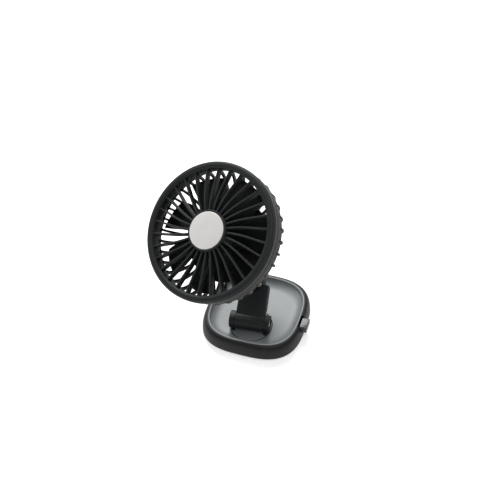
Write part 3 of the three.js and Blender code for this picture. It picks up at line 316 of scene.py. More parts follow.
@dataclass(frozen=True)
class ShellLacquer:
    """Silky grey lacquer over black moulded plastic; the grey ends at a height or at the lip.

    The seam round the turntable stays black, because the lacquer does not run down into it.
    """

    name: str
    slot: str
    level: float
    wall_level: float
    limits: Point
    by_height: bool = False
    seam: Point = (7.4, 7.75)
    corner_power: float = 3.0
    ior: float = 1.45
    reflection: float = 0.35

    def lacquered(self, g: Graph) -> Signal:
        """How far a point is covered with the grey lacquer.

        Args:
            g: The graph to build it in.

        Returns:
            The cover, from 0 to 1.
        """
        x, y, z = g.parts(g.coordinates)
        above_seam = (z * (1 / MM)).ramp(*self.seam)
        if self.by_height:
            return (z * (1 / MM)).ramp(*self.limits) * above_seam
        share = abs(x * (1 / MM)) ** self.corner_power + abs(y * (1 / MM)) ** self.corner_power
        return (share ** (1 / self.corner_power)).ramp(*self.limits) * above_seam

    def material(self) -> bpy.types.Material:
        """Builds the material.

        Returns:
            The material.
        """
        g = Graph(self.name)
        cloud = g.noise(16.0, 3.0)
        fine = g.noise(0.3, 1.0)
        pits = g.cells(0.45)
        edge = g.wear()
        grey_coat = self.lacquered(g)
        coat = g.blend(cloud, grey(self.level * 0.9, 0.0, 0.05), grey(self.level * 1.1, 0.0, 0.05))
        wall = g.blend(cloud, grey(self.wall_level * 0.8), grey(self.wall_level * 1.2))
        worn = g.blend(edge * 0.4, wall, grey(self.wall_level * 2.4))
        colour = g.blend(grey_coat, worn, coat)
        rough = 0.46 - grey_coat * 0.14 + cloud * 0.05 + fine * 0.04
        sockets = {"Base Color": colour, "Roughness": rough, "IOR": self.ior}
        sockets["Specular IOR Level"] = self.reflection
        return g.surface(sockets, fine * 0.6 + pits * 0.4, 0.014)


@dataclass(frozen=True)
class PlatedSteel:
    """Bright zinc-plated steel with fine turning marks and a dull bloom."""

    name: str
    slot: str
    level: float = 0.42

    def material(self) -> bpy.types.Material:
        """Builds the material.

        Returns:
            The material.
        """
        g = Graph(self.name)
        bloom = g.noise(3.0, 4.0)
        lines = g.noise(0.3, 2.0, g.placed(Matrix.Identity(4), (1.0, 1.0, 6.0)))
        edge = g.wear()
        colour = g.blend(bloom, grey(self.level * 0.75, 0.04), grey(self.level * 1.15))
        colour = g.blend(edge * 0.6, colour, grey(min(1.0, self.level * 1.7)))
        rough = 0.24 + bloom * 0.16 + lines * 0.08
        return g.surface({"Base Color": colour, "Roughness": rough, "Metallic": 1.0}, lines, 0.008)


@dataclass(frozen=True)
class SatinSilver:
    """Silver lacquer over fine blasted metal, as on a name plate."""

    name: str
    slot: str

    def material(self) -> bpy.types.Material:
        """Builds the material.

        Returns:
            The material.
        """
        g = Graph(self.name)
        cloud = g.noise(7.0, 3.0)
        flake = g.cells(0.34)
        speck = g.noise(0.22, 1.0)
        sparkle = flake.ramp(0.34, 0.12) * speck.ramp(0.5, 0.62)
        colour = g.blend(cloud * 0.5 + speck * 0.5, grey(0.62, 0.03), grey(0.78, 0.035))
        colour = g.blend(sparkle * 0.7, colour, grey(0.92))
        rough = 0.46 + cloud * 0.08 - sparkle * 0.16
        sockets = {"Base Color": colour, "Roughness": rough, "Metallic": 0.25 + sparkle * 0.3}
        return g.surface(sockets, speck * 0.7 + flake * 0.3, 0.02)


@dataclass(frozen=True)
class Rubber:
    """Matte foam rubber with open pores."""

    name: str
    slot: str

    def material(self) -> bpy.types.Material:
        """Builds the material.

        Returns:
            The material.
        """
        g = Graph(self.name)
        pores = g.cells(0.5)
        cloud = g.noise(9.0, 3.0)
        dust = g.noise(1.2, 4.0).ramp(0.55, 0.75)
        colour = g.blend(pores.ramp(0.1, 0.5), grey(0.006), grey(0.022, 0.03))
        colour = g.blend(dust * 0.25 + cloud * 0.1, colour, grey(0.08, 0.06))
        return g.surface({"Base Color": colour, "Roughness": 0.82 + cloud * 0.12}, pores, 0.12)


@dataclass(frozen=True)
class Bands:
    """A body of wound or layered stuff: fine lines across its length, such as windings or a board."""

    name: str
    slot: str
    dark: tuple[float, float, float, float]
    light: tuple[float, float, float, float]
    pitch: float
    metallic: float
    rough: float

    def material(self) -> bpy.types.Material:
        """Builds the material.

        Returns:
            The material.
        """
        g = Graph(self.name)
        cloud = g.noise(3.0, 3.0)
        threads = g.noise(self.pitch, 2.0, g.placed(Matrix.Identity(4), (0.15, 1.0, 1.0)))
        colour = g.blend(threads * 0.7 + cloud * 0.3, self.dark, self.light)
        rough = self.rough + cloud * 0.15
        sockets = {"Base Color": colour, "Roughness": rough, "Metallic": self.metallic}
        return g.surface(sockets, threads, 0.05)


class Finish(Enum):
    """The finishes of the fan."""

    CHARCOAL = Moulding("ring_plastic", 0.015, "charcoal_plastic", rough=0.48, rub=0.5)
    ARM = Moulding("arm_plastic", 0.015, "charcoal_plastic", rough=0.42)
    HOUSING = Moulding("housing_plastic", 0.011, "black_plastic", rough=0.5, tint=(0.12, 0.0), rub=0.2)
    BLACK = Moulding("yoke_plastic", 0.008, "black_plastic", rough=0.42, rub=0.3)
    IMPELLER = Moulding("impeller_plastic", 0.007, "black_plastic", rough=0.38, tint=(0.0, 0.12), rub=0.3)
    SHELL = ShellLacquer("shell_lacquer", "shell_plastic", 0.19, 0.003, (38.3, 37.3))
    TABLE = ShellLacquer("turntable_lacquer", "shell_plastic", 0.19, 0.003, (8.5, 8.1), by_height=True)
    BUTTON = Moulding(
        "button_plastic", 0.04, "button_cap", rough=0.34, grain_depth=0.006, rub=0.15, gloss=0.3
    )
    NYLON = Moulding("natural_nylon", 0.6, "nylon", rough=0.5, tint=(0.04, 0.0), rub=0.1)
    SILVER = SatinSilver("satin_silver", "silver")
    STEEL = PlatedSteel("plated_steel", "steel")
    RUBBER = Rubber("foam_rubber", "pad_rubber")
    COPPER = Bands("copper_windings", "copper", (0.2, 0.06, 0.02, 1), (0.62, 0.27, 0.12, 1), 0.4, 0.8, 0.3)
    BOARD = Bands("solder_mask", "board", (0.008, 0.05, 0.022, 1), (0.02, 0.12, 0.05, 1), 1.4, 0.0, 0.35)
    FERRITE = Bands("sintered_ferrite", "magnet", (0.02, 0.02, 0.021, 1), grey(0.06), 0.5, 0.1, 0.7)

    def dress(self, target: bpy.types.Object) -> None:
        """Gives an object this finish as its only material.

        Args:
            target: The object.
        """
        material = bpy.data.materials.get(self.value.name) or self.value.material()
        target.data.materials.clear()
        target.data.materials.append(material)


# ---------------------------------------------------------------- modelling


class Solid:
    """A closed shape in millimetres, in its sub-assembly's own frame, while it is modelled."""

    def __init__(self, bm: bmesh.types.BMesh, tidy: bool = True) -> None:
        """Takes over a bmesh.

        Args:
            bm: The shape, which is freed.
            tidy: Whether its doubles are merged and its normals turned outwards.
        """
        if tidy:
            bmesh.ops.remove_doubles(bm, verts=bm.verts, dist=1e-4)
            bmesh.ops.recalc_face_normals(bm, faces=bm.faces)
        mesh = bpy.data.meshes.new("solid")
        bm.to_mesh(mesh)
        bm.free()
        self.object = bpy.data.objects.new("solid", mesh)
        bpy.context.scene.collection.objects.link(self.object)

    def _bake(self) -> "Solid":
        """Applies the object's modifiers.

        Returns:
            The solid.
        """
        bpy.context.view_layer.update()
        graph = bpy.context.evaluated_depsgraph_get()
        baked = bpy.data.meshes.new_from_object(self.object.evaluated_get(graph), depsgraph=graph)
        self.object.modifiers.clear()
        self.object.data = baked
        return self

    def _combine(self, operation: str, others: Iterable["Solid"]) -> "Solid":
        """Combines other solids into this one and removes them.

        Args:
            operation: The boolean's operation.
            others: The solids.

        Returns:
            The solid.
        """
        others = list(others)
        for other in others:
            modifier = self.object.modifiers.new("combine", "BOOLEAN")
            modifier.operation = operation
            modifier.solver = "EXACT"
            modifier.object = other.object
        self._bake()
        for other in others:
            other.discard()
        return self

    def join(self, *others: "Solid") -> "Solid":
        """This solid with others added to it."""
        return self._combine("UNION", others)

    def cut(self, *others: "Solid") -> "Solid":
        """This solid with others taken out of it."""
        return self._combine("DIFFERENCE", others)

    def meet(self, *others: "Solid") -> "Solid":
        """What this solid shares with others."""
        return self._combine("INTERSECT", others)

    def discard(self) -> None:
        """Removes the solid's object."""
        bpy.data.objects.remove(self.object)

    def change(self, matrix: Matrix) -> "Solid":
        """Moves or turns the solid."""
        self.object.data.transform(matrix)
        return self

    def shift(self, x: float = 0.0, y: float = 0.0, z: float = 0.0) -> "Solid":
        """Moves the solid."""
        return self.change(Matrix.Translation((x, y, z)))

    def turn(self, degrees: float, axis: str) -> "Solid":
        """Turns the solid about an axis through its frame's origin."""
        return self.change(Matrix.Rotation(math.radians(degrees), 4, axis))

    def rounded(self, width: float, segments: int = 3, limit: float = 32.0) -> "Solid":
        """Rounds the edges.

        Args:
            width: The bevel's width.
            segments: Its steps.
            limit: Edges sharper than this many degrees are rounded.

        Returns:
            The solid.
        """
        modifier = self.object.modifiers.new("round", "BEVEL")
        modifier.width = width
        modifier.segments = segments
        modifier.limit_method = "ANGLE"
        modifier.angle_limit = math.radians(limit)
        modifier.use_clamp_overlap = True
        modifier.miter_outer = "MITER_ARC"
        return self._bake()

    def finish(
        self, name: str, matrix: Matrix, finish: Finish, body: str, replaces: Sequence[str] = ()
    ) -> bpy.types.Object:
        """Puts the solid in place as a finished piece.

        Args:
            name: The piece's name.
            matrix: The frame of its sub-assembly, in metres.
            finish: Its finish.
            body: The CAD body that it rides on.
            replaces: The CAD nodes that it stands for.

        Returns:
            The piece.
        """
        target = self.object
        target.name = name
        target.data.name = name
        target.data.transform(matrix @ Matrix.Scale(MM, 4))
        target.data.shade_smooth()
        target.data.set_sharp_from_angle(angle=SMOOTH_LIMIT)
        mark_edges(target.data)
        finish.dress(target)
        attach(target, body)
        if replaces:
            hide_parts(*replaces)
        log.info("%s: %d faces", name, len(target.data.polygons))
        return target


def mark_edges(mesh: bpy.types.Mesh) -> None:
    """Writes the attribute that the finishes read as worn edges.

    Args:
        mesh: A finished mesh, in metres.
    """
    widest = (1.6 * MM) ** 2
    sharpest = math.radians(28)
    bm = bmesh.new()
    bm.from_mesh(mesh)
    values = []
    for vertex in bm.verts:
        wide = any(face.calc_area() > widest for face in vertex.link_faces)
        bends = [edge.calc_face_angle_signed(0.0) for edge in vertex.link_edges if edge.is_manifold]
        values.append(0.0 if wide else min(1.0, max([0.0, *bends]) / sharpest))
    bm.free()
    attribute = mesh.attributes.new("edge", "FLOAT", "POINT")
    attribute.data.foreach_set("value", values)


def spun(profile: Sequence[Point], steps: int = 96) -> Solid:
    """A profile turned about Z.

    Args:
        profile: Its [radius, height] points, from the axis to the axis or round a closed loop.
        steps: Steps of the full turn.

    Returns:
        The solid.
    """
    bm = bmesh.new()
    verts = [bm.verts.new((radius, 0.0, height)) for radius, height in profile]
    closed = profile[0][0] > 0 or profile[-1][0] > 0
    pairs = list(zip(verts, verts[1:])) + ([(verts[-1], verts[0])] if closed else [])
    edges = [bm.edges.new(pair) for pair in pairs]
    bmesh.ops.spin(
        bm, geom=verts + edges, cent=(0, 0, 0), axis=(0, 0, 1), angle=math.tau, steps=steps, use_merge=True
    )
    return Solid(bm)


def fillet(points: Sequence[Point], radius: float, steps: int = 4) -> list[Point]:
    """An open profile with its inner corners rounded.

    Args:
        points: The profile.
        radius: The most that each corner is rounded by.
        steps: Steps of each corner.

    Returns:
        The rounded profile.
    """
    rounded = [points[0]]
    for before, corner, after in zip(points, points[1:], points[2:]):
        here = Vector(corner)
        back, on = Vector(before) - here, Vector(after) - here
        reach = min(radius, back.length * 0.45, on.length * 0.45)
        start, end = here + back.normalized() * reach, here + on.normalized() * reach
        for step in range(steps + 1):
            t = step / steps
            spot = start * (1 - t) ** 2 + here * (2 * t * (1 - t)) + end * t**2
            rounded.append((spot.x, spot.y))
    rounded.append(points[-1])
    return rounded


def looped(points: Sequence[Point], radius: float, steps: int = 4) -> list[Point]:
    """A closed profile with all its corners rounded, as fillet() does."""
    middle = tuple((a + b) / 2 for a, b in zip(points[0], points[-1]))
    return fillet([middle, *points, middle], radius, steps)[:-1]


def rod(radius: float, bottom: float, top: float, steps: int = 64, edge: float = 0.0) -> Solid:
    """A round bar along Z, its rims rounded by edge."""
    profile = [(0.0, bottom), (radius, bottom), (radius, top), (0.0, top)]
    return spun(fillet(profile, edge) if edge else profile, steps)


def cross_rod(radius: float, left: float, right: float, steps: int = 64, edge: float = 0.0) -> Solid:
    """A round bar along X."""
    return rod(radius, left, right, steps, edge).turn(90, "Y")


def block(low: Point3, high: Point3) -> Solid:
    """A box.

    Args:
        low: Its lowest corner.
        high: Its highest corner.

    Returns:
        The box.
    """
    bm = bmesh.new()
    size = [b - a for a, b in zip(low, high)]
    middle = [(a + b) / 2 for a, b in zip(low, high)]
    bmesh.ops.create_cube(bm, size=1.0, matrix=Matrix.Translation(middle) @ Matrix.Diagonal((*size, 1.0)))
    return Solid(bm)


def slab(outline: Sequence[Point], bottom: float, top: float) -> Solid:
    """A flat outline given a thickness along Z.

    Args:
        outline: Its points in order.
        bottom: The height of its underside.
        top: The height of its top.

    Returns:
        The slab.
    """
    bm = bmesh.new()
    face = bm.faces.new([bm.verts.new((x, y, bottom)) for x, y in outline])
    made = bmesh.ops.extrude_face_region(bm, geom=[face])["geom"]
    moved = [item for item in made if isinstance(item, bmesh.types.BMVert)]
    bmesh.ops.translate(bm, verts=moved, vec=(0, 0, top - bottom))
    return Solid(bm)


def arc(centre: Point, reach: Point, start: float, end: float, steps: int) -> list[Point]:
    """Points on an elliptic arc; angles in degrees."""
    angles = [math.radians(start + (end - start) * step / steps) for step in range(steps + 1)]
    return [(centre[0] + reach[0] * math.cos(a), centre[1] + reach[1] * math.sin(a)) for a in angles]


def rounded_rectangle(width: float, height: float, radius: float, steps: int = 8) -> list[Point]:
    """A rectangle with round corners, about the origin.

    Args:
        width: Its width along X.
        height: Its height along Y.
        radius: The radius of its corners.
        steps: Steps of each corner.

    Returns:
        Its points.
    """
    points: list[Point] = []
    for corner, (side_x, side_y) in enumerate([(1, 1), (-1, 1), (-1, -1), (1, -1)]):
        centre = (side_x * (width / 2 - radius), side_y * (height / 2 - radius))
        points += arc(centre, (radius, radius), corner * 90, corner * 90 + 90, steps)
    return points


def blade_row(
    across: int, along: int, shape: Callable[[float, float], Point3], thickness: float, count: int,
    edge: float,
) -> Solid:
    """A row of equal thin blades round Z.

    Args:
        across: Faces across one blade.
        along: Faces along it.
        shape: Gives a point of the blade's middle surface from two shares, along and across.
        thickness: The blade's thickness.
        count: How many blades there are.
        edge: How far the blade's edges are rounded.

    Returns:
        The blades.
    """
    bm = bmesh.new()
    bmesh.ops.create_grid(bm, x_segments=along, y_segments=across, size=0.5)
    for vertex in bm.verts:
        vertex.co = shape(vertex.co.x + 0.5, vertex.co.y + 0.5)
    bmesh.ops.recalc_face_normals(bm, faces=bm.faces)
    bm.normal_update()
    normals = {vertex: vertex.normal.copy() for vertex in bm.verts}
    for vertex, normal in normals.items():
        vertex.co -= normal * (thickness / 2)
    bmesh.ops.solidify(bm, geom=bm.faces[:], thickness=-thickness)
    bmesh.ops.recalc_face_normals(bm, faces=bm.faces)
    bm.normal_update()
    rims = [item for item in bm.edges if item.is_manifold and item.calc_face_angle() > math.radians(60)]
    bmesh.ops.bevel(
        bm, geom=rims, offset=edge, offset_type="OFFSET", affect="EDGES", segments=3, profile=0.5,
        material=-1, clamp_overlap=True,
    )
    everything = bm.verts[:] + bm.edges[:] + bm.faces[:]
    bmesh.ops.spin(
        bm, geom=everything, cent=(0, 0, 0), axis=(0, 0, 1), angle=math.tau * (count - 1) / count,
        steps=count - 1, use_duplicate=True,
    )
    return Solid(bm)


# ---------------------------------------------------------------- places


def joint(name: str) -> tuple[Vector, Vector]:
    """A joint's place, in metres, and the direction of its axis."""
    found = next(item for item in frame["joints"] if item["name"] == name)
    return Vector(found.get("pos_m", (0, 0, 0))), Vector(found["axis"]).normalized()


def upright(origin: Vector, right: Vector, up: Vector) -> Matrix:
    """A frame.

    Args:
        origin: Its origin, in metres.
        right: Its X direction.
        up: Its Z direction.

    Returns:
        The frame.
    """
    ahead = up.cross(right)
    turned = Matrix((right, ahead, up)).transposed().to_4x4()
    return Matrix.Translation(origin) @ turned


@dataclass(frozen=True)
class Places:
    """The frames of the sub-assemblies, in metres."""

    base: Matrix
    table: Matrix
    arm: Matrix
    knuckle: Matrix
    head: Matrix

    @classmethod
    def from_joints(cls, reach: float) -> "Places":
        """Works the frames out.

        Args:
            reach: From the tilt axis to the front plane of the head's ring, mm.

        Returns:
            The frames.
        """
        table_at, vertical = joint("turntable_turn")
        fold_at, fold_axis = joint("arm_fold")
        _, along_arm = joint("head_swivel")
        tilt_at, tilt_axis = joint("head_tilt")
        _, forward = joint("impeller_spin")
        ground = Vector((table_at.x, table_at.y, 0.0))
        return cls(
            base=Matrix.Identity(4),
            table=upright(ground, -fold_axis, vertical),
            arm=upright(fold_at, -fold_axis, along_arm),
            knuckle=upright(fold_at, -tilt_axis, along_arm),
            head=upright(tilt_at + forward * reach * MM, -tilt_axis, forward),
        )


HEAD_REACH = 91.6
places = Places.from_joints(HEAD_REACH)


# ---------------------------------------------------------------- bolts and nuts


def dress_nodes(finish: Finish, *names: str) -> None:
    """Gives CAD nodes a finish.

    Args:
        finish: The finish.
        names: The nodes.
    """
    for name in names:
        finish.dress(frame["nodes"][name])


def small_screw(head: float, head_height: float, shank: float, length: float) -> Solid:
    """A small pan-head screw along Z with a cross recess; its head starts at height 0.

    Args:
        head: The head's radius.
        head_height: The head's height.
        shank: The shank's radius.
        length: The shank's length.

    Returns:
        The screw.
    """
    crown = [(shank, 0.0), (head, 0.0), *arc((head * 0.6, 0.0), (head * 0.4, head_height), 20, 90, 6)]
    point = [(0.0, -length), (shank * 0.5, -length), (shank, -length + shank)]
    body = spun([*point, *crown, (0.0, head_height)], 40)
    wide, narrow, deep = head * 0.5, head * 0.14, head_height * 0.5
    slots = [block((-x, -y, deep), (x, y, 2)) for x, y in ((wide, narrow), (narrow, wide))]
    return body.cut(*slots)


@dataclass(frozen=True)
class CrossBolt:
    """A screw along X with a hexagon socket, its nut and the holes they need."""

    shank: float
    tip: float
    head: float
    head_span: Point
    head_edge: float
    socket: float
    socket_floor: float
    nut_span: Point
    nut_edge: float
    reach: float = 20.0

    def screw(self) -> Solid:
        """The screw, along X.

        Returns:
            The screw.
        """
        seat, end = self.head_span
        body = cross_rod(self.head, seat, end, 48, self.head_edge)
        body.join(cross_rod(self.shank, self.tip, seat + 0.4, 32, 0.3))
        return body.cut(cross_rod(self.socket, self.socket_floor, end + 1, 6)).rounded(0.12, 2)

    def nut(self) -> Solid:
        """The hexagonal nut, chamfered at both faces.

        Returns:
            The nut.
        """
        left, right = self.nut_span
        chamfer = cross_rod(self.head, left, right, 48, self.nut_edge)
        body = cross_rod(self.head, left, right, 6).meet(chamfer)
        return body.cut(cross_rod(self.shank + 0.2, left - 1, right + 1, 32)).rounded(0.12, 2)

    def holes(self) -> list[Solid]:
        """The bore, the sink of the head and the sink of the nut.

        Returns:
            The three tools.
        """
        return [
            cross_rod(self.shank + GAP, -self.reach, self.reach, 32),
            cross_rod(self.head + GAP, self.head_span[0] - GAP, self.reach, 48),
            cross_rod(self.head + GAP, -self.reach, self.nut_span[1] + GAP, 6),
        ]


# ---------------------------------------------------------------- base


@dataclass(frozen=True)
class Base:
    """The dished, rounded-square base with its pad, button and inner parts."""

    lip_outer: float = 38.7
    lip_inner: float = 36.5
    foot_half: float = 43.0
    height: float = 13.0
    floor: float = 8.0
    foot: float = 1.1
    foot_edge: float = 1.1
    dish_curve: float = 9.4
    wall: float = 2.0
    corner_power: float = 3.0
    table_radius: float = 17.3
    table_y: float = -15.2
    ledge: Point = (5.0, 6.2)
    ledge_width: float = 3.0
    hub_well: float = 13.3
    seam: float = 0.6
    notch: tuple[Point3, Point3] = ((38.25, -10.35, 5.85), (47.0, 2.35, 14.0))
    inlet: Point = (9.6, 3.9)
    inlet_at: Point = (34.0, 4.55)
    pad_inset: float = 5.0
    pad_height: float = 0.8
    button_y: float = -4.0
    button_z: float = 9.0
    button_size: Point = (5.6, 12.0)
    button_span: Point = (39.6, 46.0)
    steps: int = 144

    def build(self) -> None:
        """Builds and dresses the base."""
        self.shell()
        self.pad()
        self.button()
        self.hidden_parts()

    def squared(self, solid: Solid) -> Solid:
        """Turns a spun solid's circles into rounded squares.

        Args:
            solid: The solid, round Z.

        Returns:
            The solid.
        """
        power = self.corner_power
        for vertex in solid.object.data.vertices:
            radius = math.hypot(vertex.co.x, vertex.co.y)
            if radius > 0:
                share = abs(vertex.co.x / radius) ** power + abs(vertex.co.y / radius) ** power
                vertex.co.x *= share ** (-1 / power)
                vertex.co.y *= share ** (-1 / power)
        return solid

    def shell(self) -> None:
        """The upper shell: foot, bulging wall, lip and dish, open below."""
        turn = self.foot + self.foot_edge
        rise = self.height - turn
        lip = 0.9
        edge = self.lip_inner - self.dish_curve
        depth = self.height - lip - self.floor
        outside = arc((self.lip_outer, turn), (self.foot_half - self.lip_outer, rise), 0, 84, 12)
        crest = arc((self.lip_inner + lip, self.height - lip), (lip, lip), 96, 176, 5)
        dish = arc((edge, self.height - lip), (self.dish_curve, depth), -4, -90, 14)
        inner_wall = (self.foot_half - self.lip_outer - self.wall, rise - 1.4 * self.wall)
        under_floor = self.floor - self.wall
        under = arc((edge, self.height - lip), (self.dish_curve + self.wall, depth + self.wall), -90, -25, 10)
        inside = arc((self.lip_outer, turn), inner_wall, 90, 0, 8)
        profile = [(0.0, under_floor), *under, *inside, (self.foot_half - self.wall, self.foot)]
        profile += [(self.foot_half - 0.3, self.foot), (self.foot_half, self.foot + 0.3)]
        profile += [*outside, *crest, *dish, (self.table_radius + 2, self.floor), (0.0, self.floor)]
        body = self.squared(spun(profile, self.steps))
        ledge_bottom, ledge_top = self.ledge
        ledge = rod(self.table_radius + self.ledge_width, ledge_bottom, self.floor - 1, 96)
        body.join(ledge.shift(y=self.table_y))
        seat = rod(self.table_radius + self.seam, ledge_top, self.height + GAP, 96)
        well = rod(self.hub_well, ledge_bottom - 1, ledge_top + 1, 64)
        inlet = slab(rounded_rectangle(*self.inlet, 1.9), 0, 14).turn(-90, "X")
        inlet.shift(y=self.inlet_at[0], z=self.inlet_at[1])
        body.cut(seat.shift(y=self.table_y), well.shift(y=self.table_y), block(*self.notch), inlet)
        body.rounded(0.22, 2, 40).finish("base_shell_skin", places.base, Finish.SHELL, "base", ["base_shell"])

    def pad(self) -> None:
        """The soft pad under the base."""
        body = self.squared(rod(self.foot_half - self.pad_inset, 0.0, self.pad_height, self.steps, 0.25))
        body.finish("foam_pad", places.base, Finish.RUBBER, "base", ["base_pad"])

    def button(self) -> None:
        """The speed button's cap and stem, with three grip lines on the cap."""
        back, face = self.button_span
        cap = slab(rounded_rectangle(*self.button_size, 1.3), back, face).turn(90, "Y").rounded(0.7, 5)
        cap.shift(y=self.button_y, z=self.button_z)
        grooves = [
            cross_rod(0.32, -4, 4, 20).turn(90, "Y").shift(face + 0.14, self.button_y + across, self.button_z)
            for across in (-2, 0, 2)
        ]
        stem = block((35.2, self.button_y - 2.4, 3.75), (back + 0.6, self.button_y + 2.4, 7.0))
        cap.cut(*grooves).join(stem)
        cap.finish("button_cap", places.base, Finish.BUTTON, "button", ["speed_button"])

    def hidden_parts(self) -> None:
        """Finishes for the parts inside and below."""
        dress_nodes(Finish.BLACK, "base_cover", "button_switch")
        dress_nodes(Finish.BOARD, "control_board")
        screws = [f"cover_screw_{number}" for number in range(1, 5)]
        dress_nodes(Finish.STEEL, "power_socket", *screws, "board_screw_1", "board_screw_2")


# ---------------------------------------------------------------- turntable


@dataclass(frozen=True)
class Turntable:
    """The disc in the dish with the two ears of the hinge barrel and the hinge screw."""

    radius: float = 17.3
    top: float = 8.0
    thickness: float = 1.5
    hub_radius: float = 13.0
    hub_bottom: float = 4.7
    hinge_y: float = -3.0
    hinge_z: float = 15.5
    ear_radius: float = 7.1
    ear_inner: float = 12.2
    half_length: float = 16.4
    foot_width: float = 0.88
    seam: float = 0.3
    bolt: CrossBolt = CrossBolt(2.0, -15.6, 3.7, (14.8, 16.2), 0.5, 1.9, 15.25, (-16.2, -14.0), 0.7)

    def build(self) -> None:
        """Builds and dresses the turntable."""
        self.disc()
        for solid, name, node in (
            (self.bolt.screw(), "hinge_bolt", "hinge_screw"),
            (self.bolt.nut(), "hinge_hexagon", "hinge_nut"),
        ):
            solid.shift(y=self.hinge_y, z=self.hinge_z)
            solid.finish(name, places.table, Finish.STEEL, "table", [node])
        dress_nodes(Finish.STEEL, "turntable_retainer", *[f"retainer_screw_{n}" for n in (1, 2, 3)])

    def ear(self, side: int) -> Solid:
        """One hinge ear on its foot.

        Args:
            side: -1 for the left one, 1 for the right one.

        Returns:
            The ear.
        """
        ends = sorted((side * self.ear_inner, side * self.half_length))
        eye = cross_rod(self.ear_radius, *ends, 96).shift(y=self.hinge_y, z=self.hinge_z)
        half = self.ear_radius * self.foot_width
        bottom = self.top - self.thickness + GAP
        foot = block((ends[0], self.hinge_y - half, bottom), (ends[1], self.hinge_y + half, self.hinge_z))
        return eye.join(foot.meet(rod(self.radius - GAP, bottom - 1, self.hinge_z + 1, 96)))

    def disc(self) -> None:
        """The disc, its hub and the ears in one moulding."""
        under = self.top - self.thickness
        body = rod(self.radius - self.seam, under, self.top, 120)
        body.join(rod(self.hub_radius, self.hub_bottom, under + GAP, 64), self.ear(-1), self.ear(1))
        body.cut(*[tool.shift(y=self.hinge_y, z=self.hinge_z) for tool in self.bolt.holes()])
        body.rounded(0.35, 3)
        body.finish("turntable_skin", places.table, Finish.TABLE, "table", ["turntable"])


# ---------------------------------------------------------------- arm


@dataclass(frozen=True)
class Arm:
    """The flat arm: knuckle, channel, swivel collar, back cover and its screws."""

    half: float = 11.9
    taper: float = 0.3
    front: float = 5.2
    back: float = 5.5
    start: float = 8.6
    length: float = 30.5
    wall: float = 1.8
    knuckle_radius: float = 7.0
    collar_radius: float = 8.2
    collar_top: float = 44.1
    bore: float = 5.3
    cover: float = 2.2
    screws: Point = (14.0, 25.5)
    screw_seat: float = 1.1
    counterbore: Point = (29.0, 35.7)
    counterbore_radius: float = 7.0
    washer_radius: float = 5.4
    washer_thickness: float = 0.8
    panel: Point = (17.2, 22.3)
    panel_half: float = 7.0

    def build(self) -> None:
        """Builds and dresses the arm."""
        self.channel()
        self.back_cover()
        for number, reach in enumerate(self.screws, 1):
            turn = Matrix.Rotation(math.radians(-90), 4, "X")
            spot = Vector((0, self.back - self.screw_seat, reach)) * MM
            place = places.arm @ Matrix.Translation(spot) @ turn
            small_screw(2.2, 1.0, 1.0, 5.4).finish(
                f"arm_bolt_{number}", place, Finish.STEEL, "arm", [f"arm_screw_{number}"]
            )
        dress_nodes(Finish.NYLON, "hinge_washer_left", "hinge_washer_right")

    def channel(self) -> None:
        """The front moulding."""
        narrow = self.half - self.taper
        side_top = self.back - self.cover - GAP
        end = self.length + 1
        outline = [(-self.half, 0), (self.half, 0), (self.half, self.start), (narrow, end), (-narrow, end)]
        outline.append((-self.half, self.start))
        body = slab(outline, -side_top, self.front).turn(90, "X").rounded(1.1, 5, 60)
        inner = narrow - self.wall
        hollow = block(
            (-inner, self.wall - self.front, self.start + 1), (inner, self.back + 1, self.length - 1)
        )
        body.join(
            cross_rod(self.knuckle_radius, -self.half, self.half, 96),
            rod(self.collar_radius, self.length, self.collar_top, 96),
        )
        sink, depth = self.washer_radius + GAP, self.half - self.washer_thickness - GAP
        sinks = [cross_rod(sink, side * (self.half + 1), side * depth, 48) for side in (-1, 1)]
        bore = rod(self.bore, self.length - 2, self.collar_top + 1, 64)
        body.cut(hollow, bore, rod(self.counterbore_radius, *self.counterbore, 64))
        body.cut(cross_rod(2.3, -13, 13, 32), *sinks)
        body.rounded(0.3, 3)
        body.finish("arm_moulding", places.arm, Finish.ARM, "arm", ["arm_front"])

    def back_cover(self) -> None:
        """The cover of the channel, with a finger-wide sunk panel."""
        narrow = self.half - self.taper
        start, end = self.start + 1, self.length - 0.5
        outline = [(-self.half, start), (self.half, start), (narrow, end), (-narrow, end)]
        body = slab(outline, -self.back, self.cover - self.back).turn(90, "X").rounded(0.7, 4, 60)
        for reach in self.screws:
            hole = rod(1.3, -self.back - 1, 0, 24).turn(90, "X").shift(z=reach)
            sink = rod(2.5, -self.back - 1, 1.4 - self.back, 32).turn(90, "X").shift(z=reach)
            body.cut(hole, sink)
        low, high = self.panel
        body.cut(block((-self.panel_half, self.back - 0.4, low), (self.panel_half, self.back + 1, high)))
        body.rounded(0.15, 2).finish("arm_cover", places.arm, Finish.ARM, "arm", ["arm_back"])


# ---------------------------------------------------------------- swivel knuckle


